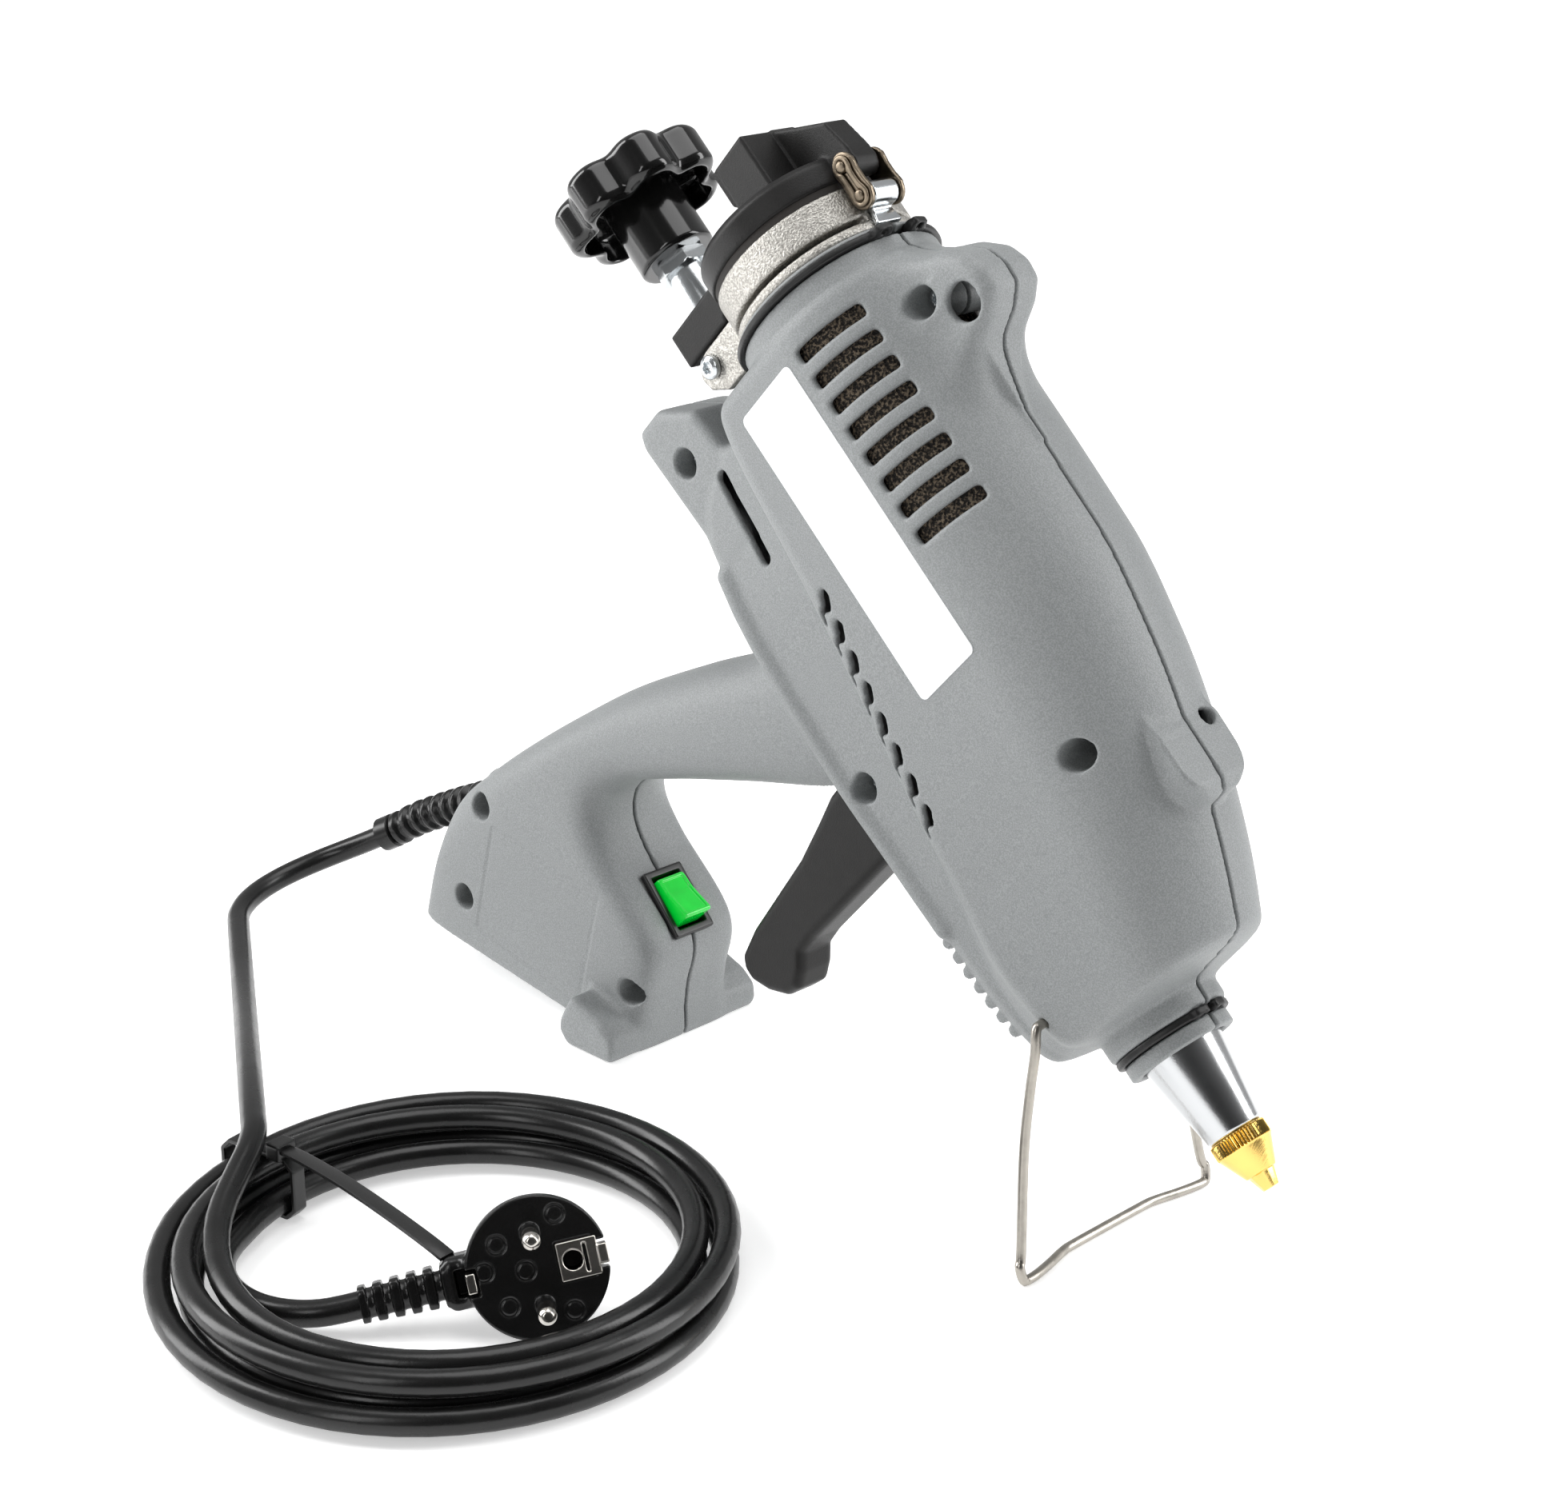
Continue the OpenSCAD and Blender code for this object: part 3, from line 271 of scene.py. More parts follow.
def lathe(profile, sides=72, centre=(0, 0), shape=None, closed=False):
    """Turned form about an axis along x through centre (y, z), from (x, radius) points."""
    w = np.linspace(0, 2 * math.pi, sides, endpoint=False)
    rings = []
    for x, r in profile:
        rr = shape(x, r, w) if shape else np.full(sides, max(r, 0.02))
        rings.append(np.stack([np.full(sides, x), centre[0] + rr * np.cos(w), centre[1] + rr * np.sin(w)], 1))
    return skin(rings, closed)


def tube(path, radius, sides=20, section=None):
    """Round or shaped tube along a path, its section carried along without twist."""
    path = np.asarray(path, float)
    steps = np.gradient(path, axis=0)
    steps /= np.linalg.norm(steps, axis=1)[:, None]
    side = np.cross(steps[0], (0, 0, 1) if abs(steps[0][2]) < 0.9 else (1, 0, 0))
    w = np.linspace(0, 2 * math.pi, sides, endpoint=False)
    flat = section if section is not None else np.stack([np.cos(w), np.sin(w)], 1)
    radii = np.broadcast_to(radius, len(path))
    rings = []
    for p, t, r in zip(path, steps, radii):
        side = side - t * (side @ t)
        side /= np.linalg.norm(side)
        up = np.cross(side, t)
        rings.append(p + r * (flat[:, :1] * side + flat[:, 1:] * up))
    return skin(rings)


def together(*parts):
    """One list of vertices and faces from several."""
    verts, faces, count = [], [], 0
    for v, f in parts:
        verts.append(np.asarray(v, float))
        faces += [tuple(i + count for i in face) for face in f]
        count += len(v)
    return np.concatenate(verts), faces


def moved(part, place):
    verts, faces = part
    m = np.array(place)
    return verts @ m[:3, :3].T + m[:3, 3], faces


# Moulded forms as signed distances on a grid, negative inside

FAR = 30.0


def smin(a, b, k):
    h = np.maximum(k - np.abs(a - b), 0) / k
    return np.minimum(a, b) - h * h * k * 0.25


def smax(a, b, k):
    return -smin(-a, -b, k)


def outline(px, pz, points):
    """Distance in a plane to a closed outline."""
    p = np.asarray(points, np.float32)
    best, sign = np.float32(1e9), np.float32(1)
    for (ax, az), (bx, bz) in zip(p, np.roll(p, -1, 0)):
        ex, ez, wx, wz = bx - ax, bz - az, px - ax, pz - az
        t = np.clip((wx * ex + wz * ez) / max(ex * ex + ez * ez, 1e-9), 0, 1)
        best = np.minimum(best, (wx - ex * t) ** 2 + (wz - ez * t) ** 2)
        above, below, left = pz >= az, pz < bz, ex * wz > ez * wx
        sign = np.where((above & below & left) | ~(above | below | left), -sign, sign)
    return sign * np.sqrt(best)


def extrude(d, w, half, edge):
    """A plane distance carried to half on each side along w, with its edges rounded."""
    a, b = d + edge, np.abs(w) - half + edge
    return np.minimum(np.maximum(a, b), 0) + np.hypot(np.maximum(a, 0), np.maximum(b, 0)) - edge


def rod_x(r, x0, x1, z0=0.0, y0=0.0, edge=0.3):
    return lambda x, y, z: extrude(np.hypot(y - y0, z - z0) - r, x - (x0 + x1) / 2, (x1 - x0) / 2, edge)


def rod_y(r, y0, y1, x0, z0, edge=0.3):
    return lambda x, y, z: extrude(np.hypot(x - x0, z - z0) - r, y - (y0 + y1) / 2, (y1 - y0) / 2, edge)


def rod_z(r, z0, z1, x0=0.0, y0=0.0, edge=0.3):
    return lambda x, y, z: extrude(np.hypot(x - x0, y - y0) - r, z - (z0 + z1) / 2, (z1 - z0) / 2, edge)


def cone_x(r0, r1, x0, x1, z0=0.0):
    slope = (r1 - r0) / (x1 - x0)
    return lambda x, y, z: np.maximum((np.hypot(y, z - z0) - r0 - slope * (x - x0)) / math.hypot(1, slope),
                                      np.abs(x - (x0 + x1) / 2) - (x1 - x0) / 2)


def slab(points, half, edge=0.5, y0=0.0):
    return lambda x, y, z: extrude(outline(x, z, points), y - y0, half, edge)


def block(x0, x1, y0, y1, z0, z1, edge=0.4):
    def shape(x, y, z):
        spans = ((x, x0, x1), (y, y0, y1), (z, z0, z1))
        q = [np.abs(v - (a + b) / 2) - (b - a) / 2 + edge for v, a, b in spans]
        out = np.sqrt(sum(np.maximum(v, 0) ** 2 for v in q))
        return out + np.minimum(np.maximum(np.maximum(q[0], q[1]), q[2]), 0) - edge
    return shape


def capsule_xz(a, b, r):
    (ax, az), (bx, bz) = a, b
    ex, ez = bx - ax, bz - az

    def shape(x, y, z):
        t = np.clip(((x - ax) * ex + (z - az) * ez) / (ex * ex + ez * ez), 0, 1)
        return np.hypot(x - ax - ex * t, z - az - ez * t) - r
    return shape


def tilted(shape, x0, z0, turn):
    """A form given in a frame of its own, at (x0, z0) and turned about y."""
    c, s = math.cos(turn), math.sin(turn)
    return lambda x, y, z: shape((x - x0) * c - (z - z0) * s, y, (x - x0) * s + (z - z0) * c)


def near(x0, x1, z0, z1, y1=40, y0=-9):
    """Part of the grid that a join or a cut reaches."""
    return (x0, y0, z0), (x1, y1, z1)


class Field:
    """Grid of distances that solids are joined into and cut out of."""

    def __init__(self, low, high, step):
        self.step = step
        self.axes = [np.arange(a - 3 * step, b + 3 * step, step, dtype=np.float32) for a, b in zip(low, high)]
        self.d = np.full([len(a) for a in self.axes], FAR, np.float32)

    def copy(self):
        other = object.__new__(Field)
        other.step, other.axes, other.d = self.step, self.axes, self.d.copy()
        return other

    def window(self, box):
        if box is None:
            return (slice(None),) * 3
        return tuple(slice(*np.searchsorted(a, (lo, hi))) for a, lo, hi in zip(self.axes, *box))

    def grids(self, cut):
        return np.ix_(*[a[s] for a, s in zip(self.axes, cut)])

    def join(self, shape, k=0.6, box=None):
        cut = self.window(box)
        self.d[cut] = smin(self.d[cut], shape(*self.grids(cut)), k)
        return self

    def cut(self, shape, k=0.4, box=None):
        cut = self.window(box)
        self.d[cut] = smax(self.d[cut], -shape(*self.grids(cut)), k)
        return self

    def soften(self, passes):
        for _ in range(passes):
            for axis in range(3):
                d = np.moveaxis(self.d, axis, 0)
                d[1:-1] = (d[:-2] + 2 * d[1:-1] + d[2:]) * 0.25
        return self

    def mesh(self, name, place=GUN, ratio=0.3, mirror=False):
        band = 3 * self.step
        grid = openvdb.FloatGrid(band)
        grid.copyFromArray(np.ascontiguousarray(np.clip(self.d, -band, band)))
        points, quads = grid.convertToQuads(0.0)
        verts = points.astype(float) * self.step + [a[0] for a in self.axes]
        quads = quads.astype(np.int64)
        if mirror:
            verts[:, 1] *= -1
        a, b, c, d = (verts[quads[:, i]] for i in range(4))
        if (a * (np.cross(b, c) + np.cross(c, d))).sum() < 0:
            quads = quads[:, ::-1]
        mesh = bpy.data.meshes.new(name)
        mesh.from_pydata(verts.tolist(), [], quads.tolist())
        mesh.transform(place)
        return thinned(mesh, ratio)

    def piece(self, name, slot, body, node, place=GUN, ratio=0.3, mirror=False):
        return adopt(name, self.mesh(name, place, ratio, mirror), slot, body, node, 0)


def thinned(mesh, ratio):
    """Mesh with fewer faces where it is flat."""
    helper = show("helper", mesh)
    helper.modifiers.new("thin", "DECIMATE").ratio = ratio
    bpy.context.view_layer.update()
    out = bpy.data.meshes.new_from_object(helper.evaluated_get(bpy.context.evaluated_depsgraph_get()))
    name = mesh.name
    bpy.data.objects.remove(helper)
    bpy.data.meshes.remove(mesh)
    out.name = name
    return out


# Mains lead: one cord from the strain relief, through the coil, to the plug

def unit(v):
    return v / np.linalg.norm(v)


LEAD_R = 3.6
COIL_C = (6.0, -144.0)
COIL_START = 215.0
COIL_SPAN = 4 - 6.2 / 360
COIL_IN_R = 60.0
COIL_PITCH = 8.4
COIL_LOW, COIL_HIGH = 5.3, 13.7
COIL_EASE = 0.2
STUB = 2 * LEAD_R
GLAND_END = np.array((-199, -7, 28.5))
GLAND_OUT = unit(np.array((-0.8, -0.37, -0.47)))
PLUG = ROW @ Matrix.Translation((42, -144.5, 19)) @ turned("Z", 52) @ turned("X", 68) @ turned("Z", 10)
PLUG_END = np.array(PLUG @ Vector((-46, 0, -10))) * 1000
PLUG_OUT = np.array(PLUG.to_3x3() @ Vector((-1, 0, 0))) * 1000


def coil_at(t):
    w = math.radians(COIL_START + 360 * t)
    r = COIL_IN_R + COIL_PITCH * (t if t < 2 else 4 - t)
    s = min(max((t - 1.75) * 2, 0), 1)
    e = max(1 - t / COIL_EASE, 0)
    z = COIL_HIGH + (COIL_LOW - COIL_HIGH) * s * s * (3 - 2 * s) + COIL_PITCH * e * e
    return np.array((COIL_C[0] + r * math.cos(w), COIL_C[1] + r * math.sin(w), z))


coil_head = unit(coil_at(0.01) - coil_at(0))
coil_tail = unit(coil_at(COIL_SPAN) - coil_at(COIL_SPAN - 0.01))
coil = [coil_at(0) - coil_head * STUB, *[coil_at(t) for t in np.linspace(0, COIL_SPAN, 240)],
        coil_at(COIL_SPAN) + coil_tail * STUB]
LEAD_ROUTE = [
    GLAND_END, (-205.71, -10.19, 24.56), (-211.86, -14.69, 21.04), (-216.8, -20.79, 18.07),
    (-220.04, -28.14, 15.67), (-221.21, -36.24, 13.81), (-220.13, -44.44, 12.45), (-216.82, -52.09, 11.51),
    (-211.5, -58.55, 10.93), (-204.71, -63.48, 10.63), (-197.69, -68.11, 10.51), (-190.67, -72.74, 10.5),
    (-176.62, -82, 10.75), (-162.61, -91.24, 11.92), (-148.65, -100.44, 13.81), (-134.74, -109.6, 16.17),
    (-120.85, -118.75, 18.73), (-106.96, -127.91, 21.27), (-93.04, -137.08, 23.53), (-86.06, -141.68, 24.47),
    (-79.07, -146.29, 25.26), (-72.06, -150.91, 25.85), (-65.05, -155.54, 26.2), (-58.07, -160.24, 26.28),
    (-52.08, -166.04, 25.37), coil[0]]
TAIL_ROUTE = [
    coil[-1], (-40.4, -183.35, 5.3), (-36.81, -186.89, 5.3), (-32.72, -189.72, 5.29), (-28.21, -191.82, 5.27),
    (-23.44, -193.12, 5.25), (-18.57, -193.59, 5.25), (-13.7, -193.24, 5.29), (-8.96, -192.1, 5.4),
    (-4.48, -190.2, 5.6), (-0.34, -187.57, 5.92), (3.34, -184.29, 6.39), PLUG_END + 5 * PLUG_OUT, PLUG_END]
route = np.concatenate([spline(LEAD_ROUTE, 6)[:-1], coil[:-1], spline(TAIL_ROUTE, 6)]) / 1000
lead_curve = bpy.data.curves.new("mains_cord", "CURVE")
lead_curve.dimensions = "3D"
lead_curve.bevel_depth = LEAD_R / 1000
lead_curve.bevel_resolution = 6
lead_curve.use_fill_caps = True
lead_line = lead_curve.splines.new("POLY")
lead_line.points.add(len(route) - 1)
for point, p in zip(lead_line.points, route):
    point.co = (*p, 1)
lead_line.use_smooth = True
lead_curve.materials.append(FINISHES["cord"])
mains_cord = show("mains_cord", lead_curve)
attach(mains_cord, "gun")
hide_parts("mains_lead", "lead_coil", "lead_tail")


# Housing

WALL = 2.5
SEAM = 0.4
TANK_Z = 44.5
STUD_Z = 3
CLAMP_PIN = (-267.7, STUD_Z)
HANG_HOLE = (-223, 88)
STAND_PIVOT = (-66, -13)
VENT_X, VENT_PITCH = -239, 8.3
CURL_X, CURL_PITCH = -187.5, 8.8
# Stations along x: front, half width, crease, spine half width, rear
BODY = np.array([
    (-250, 76, 31.5, 14, 13, -4), (-240, 76, 31.5, 11, 14, -30), (-228, 76, 31.5, 9, 15, -38),
    (-200, 76, 31.5, 6, 17, -41), (-160, 75.2, 31.3, 0, 17.5, -41.5), (-130, 70, 30.5, -6, 18, -39.5),
    (-105, 62.5, 29, -11, 19, -37), (-82, 53, 27.5, -15, 19.5, -34.5), (-62, 42.5, 24.5, -14, 18, -31.5),
    (-57, 39, 22.5, -12, 16, -29), (-53.5, 16, 14, -1, 9, -17)])
# Stations along the handle: front x and z, back x and z, half width, squareness
GRIP = np.array([
    (-152, -30, -203, -30, 14.5, 2.6), (-155, -47, -203, -47, 15.5, 2.6), (-176, -78, -215, -75, 16.5, 2.6),
    (-195, -107, -226, -103, 16.5, 2.6), (-206, -127, -233, -128, 17, 2.8),
    (-203, -139, -238, -150, 18.5, 3.6), (-190, -144.5, -241.5, -172, 20, 5.5),
    (-161, -146.5, -243, -193, 20.5, 8), (-150, -162, -237, -217, 20.5, 9),
    (-140, -176.5, -227, -238, 20.5, 9)])
# Screws: x, z, depth of the head below the parting plane
SCREWS = [
    (-255, -25, 6), (-231, 78, 4), (-112.5, 49, 9), (-148.5, -30, 9.5), (-234, -180, 9), (-218, -211, 9),
    (-155.5, -164, 9)]
TRIGGER_PIVOT = SCREWS[3][:2]
HANGING_LUG = [
    (-246, 60), (-243, 80), (-238, 90), (-232, 96), (-226, 98.2), (-220, 97.4), (-216, 92), (-213, 84),
    (-207, 74), (-206, 60)]
REAR_LUG = [
    (-273, -35), (-273, -24), (-264, -12), (-250, -10), (-240, 8), (-226, 8), (-224, -34), (-268, -37)]
LEDGE = [(-112, 30), (-112, 62), (-106, 63.5), (-90, 63), (-86.5, 61), (-85, 50), (-85, 30)]
FOOT_OUTLINE = [(0, 0), (-20, 0), (-23.5, 4), (-23, 8), (-18, 17), (-4, 12), (1, 8), (1.5, 3)]
TRIGGER_GAP = [(-182, -36), (-126, -36), (-126, -48), (-150, -88), (-186, -88)]
PANEL = [(-225.9, -179.4), (-207.8, -212.9), (-164.5, -188), (-183.9, -151.5)]
SWITCH = (-171.8, -145.7)
SWITCH_TILT = math.radians(3.9)

# Slopes at the stations, level where the body turns back
STATIONS, SECTIONS = BODY[:, 0], BODY[:, 1:]
rise = np.diff(SECTIONS, axis=0) / np.diff(STATIONS)[:, None]
same = rise[:-1] * rise[1:] > 0
mean = 2 * rise[:-1] * rise[1:] / np.where(same, rise[:-1] + rise[1:], 1)
TANGENTS = np.concatenate([rise[:1], np.where(same, mean, 0), rise[-1:]])


def station(u):
    """Body section at u, on smooth curves that don't overshoot the stations."""
    u = min(max(u, STATIONS[0]), STATIONS[-1])
    i = min(max(int(np.searchsorted(STATIONS, u)) - 1, 0), len(STATIONS) - 2)
    h = STATIONS[i + 1] - STATIONS[i]
    t = (u - STATIONS[i]) / h
    return ((1 + 2 * t) * (1 - t) ** 2 * SECTIONS[i] + t * (1 - t) ** 2 * h * TANGENTS[i]
            + t * t * (3 - 2 * t) * SECTIONS[i + 1] + t * t * (t - 1) * h * TANGENTS[i + 1])


def section(u):
    """Closed outline in (z, y) of half the body at u, carried past the parting plane."""
    front, r, k, w, b = station(u)
    c = front - r
    arc = [(c + r * math.cos(a), r * math.sin(a)) for a in np.linspace(0, math.pi / 2, 20)]
    return [(front, -10), *arc, (k + 3, r), (k, r - 1), (k - 3, r - 3.5), (k - 8, w + 1), (k - 10, w),
            (b + 6, w), (b + 2, w - 1.8), (b, w - 6), (b, -10)]


def body_form(x, y, z):
    out = np.empty((x.shape[0], y.shape[1], z.shape[2]), np.float32)
    plane_y, plane_z = np.abs(y[0]), z[0]
    for i, u in enumerate(x[:, 0, 0]):
        out[i] = outline(plane_z, plane_y, section(float(u)))
    return smax(out, np.maximum(BODY[0, 0] - x, x - BODY[-1, 0]), 5)


def grip_form(x, y, z):
    """Handle: sections fan out along its path, each a rounded box between a front and a back point."""
    path = spline(GRIP, 18)
    px, pz = x[:, 0, :], z[:, 0, :]
    shape = np.broadcast(px, pz).shape
    along, past, where = np.full(shape, 9.0), np.zeros(shape), np.zeros(shape)
    before = None
    for i, (fx, fz, bx, bz, w, n) in enumerate(path):
        ax, az = (fx - bx) / 2, (fz - bz) / 2
        dx, dz = px - (fx + bx) / 2, pz - (fz + bz) / 2
        size = math.hypot(ax, az)
        s = (dx * ax + dz * az) / size ** 2
        off = (dx * az - dz * ax) / size
        if before is not None:
            s0, off0 = before
            hit = (off0 * off <= 0) & (np.abs(s) < np.abs(along))
            share = np.clip(off0 / np.where(off0 - off == 0, 1, off0 - off), 0, 1)
            along = np.where(hit, s0 + (s - s0) * share, along)
            where = np.where(hit, i - 1 + share, where)
        before = (s, off)
        if i in (0, len(path) - 1):
            beyond = (off < 0) if i == 0 else (off > 0)
            take = beyond & (np.abs(s) < 2.2) & (np.abs(off) < 12) & (along > 8)
            along = np.where(take, s, along)
            where = np.where(take, i, where)
            past = np.where(take, np.abs(off), past)
    last = len(path) - 1
    lower = np.clip(where.astype(int), 0, last - 1)
    share = where - lower
    here = path[lower] + (path[lower + 1] - path[lower]) * share[..., None]
    half = np.hypot(here[..., 0] - here[..., 2], here[..., 1] - here[..., 3]) / 2
    planes = (np.abs(along), here[..., 4], here[..., 5], half, past)
    s, w, n, half, past = (np.asarray(v, np.float32)[:, None, :] for v in planes)
    q = np.abs(y) / w
    rho = (s ** n + q ** n) ** (1 / n) + 1e-4
    steep = np.hypot(s ** (n - 1) / half, q ** (n - 1) / w) * rho ** (1 - n)
    d = (rho - 1) / np.maximum(steep, 1 / 60)
    return smax(np.minimum(d, FAR), np.where(past > 0, past, -FAR), 3).astype(np.float32)


def ledge_form(x, y, z):
    plan = np.where(x > -98, np.hypot(x + 98, y) - 13, np.abs(y) - 13)
    return smax(extrude(outline(x, z, LEDGE), y, 13, 0.8), plan, 1.5)


def fairing(x, y, z):
    """Three-sided swelling that runs out of the hanging lug down the front."""
    t = np.clip((x + 226) / 32, 0, 1)
    half, top = 13.5 - 12.5 * t, 86 - 9.5 * t
    return np.maximum(np.maximum((np.abs(y) - half + (z - 76) * 0.35) * 0.87, (z - top) * 0.95), -233 - x)


def rope(points, r):
    """Rounded bead along a line of points, on both sides."""
    def shape(x, y, z):
        best, side = np.float32(1e9), np.abs(y)
        for a, b in zip(points, points[1:]):
            e = [float(q - p) for p, q in zip(a, b)]
            w = (x - float(a[0]), side - float(a[1]), z - float(a[2]))
            t = np.clip(sum(p * q for p, q in zip(w, e)) / sum(q * q for q in e), 0, 1)
            best = np.minimum(best, sum((p - q * t) ** 2 for p, q in zip(w, e)))
        return np.sqrt(best) - r
    return shape


def in_switch(shape):
    return tilted(shape, *SWITCH, SWITCH_TILT)


GLAND_SLOPE = math.radians(24.4)
GLAND_EXIT = np.array((-143, 0, 57.0))
GLAND_DIR = np.array((-math.cos(GLAND_SLOPE), 0, -math.sin(GLAND_SLOPE)))


def on_gland(r, start, end):
    """Rod along the lead's exit."""
    x, _, z = GLAND_EXIT - TIP
    return tilted(rod_x(r, start, end, edge=0.4), x * COS - z * SIN, x * SIN + z * COS,
                  math.pi - GLAND_SLOPE - REST_TILT)


def vents(x, y, z):
    """Eight slots round the side of the tank."""
    dx = x - VENT_X
    dx = dx - VENT_PITCH * np.clip(np.round(dx / VENT_PITCH), 0, 7)
    r = np.hypot(y, z - TANK_Z)
    turn = np.degrees(np.arctan2(z - TANK_Z, np.abs(y)))
    s = (turn - 28.5) * (math.pi / 180 * 31.5)
    d = np.hypot(np.maximum(np.abs(dx) - 0.9, 0), np.maximum(np.abs(s) - 10, 0)) - 1.25
    return np.maximum(d, np.abs(r - 31) - 5)


def curled_vents(x, y, z):
    """Row of small curled slots along the crease."""
    i = np.clip(np.round((x - CURL_X) / CURL_PITCH), 0, 7)
    dx, dz = x - CURL_X - CURL_PITCH * i, z - 7.4 + 12 / 7 * i
    bends = [((-3.0, 3.0), (-0.6, 2.0)), ((-0.6, 2.0), (0.6, -2.0)), ((0.6, -2.0), (3.0, -3.0))]
    d = FAR
    for a, b in bends:
        d = np.minimum(d, capsule_xz(a, b, 1.0)(dx, y, dz))
    d = np.minimum(d, capsule_xz((-1.9, 2.6), (0.3, 1.2), 1.7)(dx, y, dz))
    return np.maximum(d, np.abs(np.abs(y) - 27) - 9)


def housing_form():
    step = 0.7
    by_gland, by_nose = near(-260, -205, -215, -140, 20), near(-52, -38, -20, 20, 20)
    f = Field((-276, 0, -240), (-39, 33, 100), step)
    f.join(body_form, 0.5, near(-262, -45, -60, 110))
    f.join(grip_form, 3.5, near(-250, -128, -245, -18, 26))
    foot = [(FOOT[0] + a * COS - b * SIN, FOOT[1] + a * SIN + b * COS) for a, b in FOOT_OUTLINE]
    f.join(slab(foot, 31, 1.8), 2.5, near(-190, -120, -220, -140))
    f.join(slab(HANGING_LUG, 11, 4.5), 11, near(-262, -185, 40, 110))
    f.join(slab(REAR_LUG, 14, 2.5), 3, near(-280, -210, -50, 20))
    f.join(rod_x(30.5, -258.5, -249, TANK_Z, edge=0.8), 1.2, near(-262, -240, 10, 80))
    f.join(rod_x(17.5, -57.5, -47.5, edge=0.8), 3, near(-70, -40, -30, 30, 30))
    f.join(on_gland(8.6, -14, 0), 2, by_gland)
    f.soften(2)
    # Flat on the floor
    f.cut(lambda x, y, z: TIP[2] - SIN * x + COS * z, 0.3, near(-235, -120, -245, -140))
    f.join(fairing, 2, near(-250, -185, 60, 92, 20))
    f.join(ledge_form, 1.2, near(-120, -75, 25, 75, 22))
    edge = [(u, station(u)[3] - 0.6, station(u)[4] + 4.6) for u in np.linspace(-222, -104, 12)]
    f.join(rope(edge, 2.5), 3, near(-230, -96, -48, -18, 28, 5))
    # Teeth across the spine
    for u in range(-101, -70, 5):
        spine, rear = map(float, station(u)[3:])
        tooth = rod_y(1.9, 1.6 - spine, spine - 1.6, u, rear + 0.9, 0.6)
        f.join(tooth, 0.5, near(u - 6, u + 6, -48, -25, 30))
    # Hollow, but for the nose neck and the screw posts
    skin_d = f.d.copy()
    steep = np.sqrt(sum(g * g for g in np.gradient(skin_d, step)))
    f.d = smax(skin_d, -skin_d / np.clip(steep, 0.35, 12) - WALL, 0.5)
    f.join(rod_x(13.5, -48.5, -41), 0.3, by_nose)
    f.join(rod_x(15.5, -45.4, -41, edge=0.6), 0.3, by_nose)
    for u, v, _ in SCREWS:
        cut = f.window(near(u - 8, u + 8, v - 8, v + 8))
        post = rod_y(5.2, -40, 40, u, v)(*f.grids(cut))
        f.d[cut] = smin(f.d[cut], smax(post, skin_d[cut] + 0.5, 0.5), 0.8)
    # Neck and nose bores, ring groove, hanging hole, trigger, switch and stand
    f.cut(rod_x(25.8, -262, -238, TANK_Z), 0.4, near(-264, -236, 10, 80))
    f.cut(rod_x(12.3, -66, -38), 0.4, near(-68, -37, -20, 20, 20))
    f.cut(lambda x, y, z: np.maximum(28.5 - np.hypot(y, z - TANK_Z), np.abs(x + 255.75) - 1.05), 0.3,
          near(-259, -252, 10, 80))
    f.cut(rod_y(5.2, -40, 40, *HANG_HOLE), 0.9, near(-232, -214, 80, 97))
    f.cut(slab(TRIGGER_GAP, 7.7, 0.8), 0.8, near(-190, -120, -92, -30, 12))
    f.cut(in_switch(block(-9.7, 9.7, -6.8, 6.8, -22, 6)), 0.4, near(-195, -150, -172, -135, 12))
    f.cut(in_switch(block(-11.35, 11.35, -7.9, 7.9, -0.3, 6)), 0.3, near(-195, -150, -155, -135, 12))
    f.cut(rod_y(1.45, -40, 40, *STAND_PIVOT), 0.3, near(-72, -60, -20, -6))
    f.cut(vents, 1.0, near(-246, -174, 44, 80, 40, 4))
    f.cut(curled_vents, 0.6, near(-194, -118, -12, 14, 40, 14))
    rear_slot = capsule_xz((-243, -15), (-216.5, -16.5), 2.0)
    f.cut(lambda x, y, z: np.maximum(rear_slot(x, y, z), 8 - np.abs(y)), 0.8,
          near(-248, -210, -22, -8, 30, 5))
    for u in (-107, -103.2, -99.4):
        f.cut(rod_y(0.7, -10, 10, u, 64.0), 0.3, near(u - 2, u + 2, 60, 66, 14))
    f.cut(on_gland(6.7, 0, 14), 0.4, by_gland)
    return f


housing = housing_form()
for side, half in ((1, "left"), (-1, "right")):
    f = housing.copy()
    if side < 0:
        # Screw pockets and the switch panel's line
        for u, v, depth in SCREWS:
            f.cut(rod_y(4.3, depth, 40, u, v), 0.8, near(u - 8, u + 8, v - 8, v + 8, 40, 2))
            f.cut(rod_y(2.1, -2, depth + 1, u, v), 0.2, near(u - 5, u + 5, v - 5, v + 5))
        cut = f.window(near(-235, -155, -220, -140, 26, 12))
        x, y, z = f.grids(cut)
        edge = outline(x, z, PANEL)
        inset = np.clip(0.5 - edge / 0.8, 0, 1) * 0.2 + np.clip(1 - np.abs(edge) / 0.8, 0, 1) * 0.35
        f.d[cut] = f.d[cut] + np.where(f.d[cut] > -1.2, inset, 0)
    else:
        f.cut(rod_z(2.6, 50, 75, -106, 8.2), 0.5, near(-112, -100, 48, 72, 14, 2))
    f.cut(lambda x, y, z: y - SEAM, 0.2)
    f.piece(f"housing_{half}_shell", "housing", "gun", f"housing_{half}", ratio=0.22, mirror=side < 0)


# Blank label plate on the near side

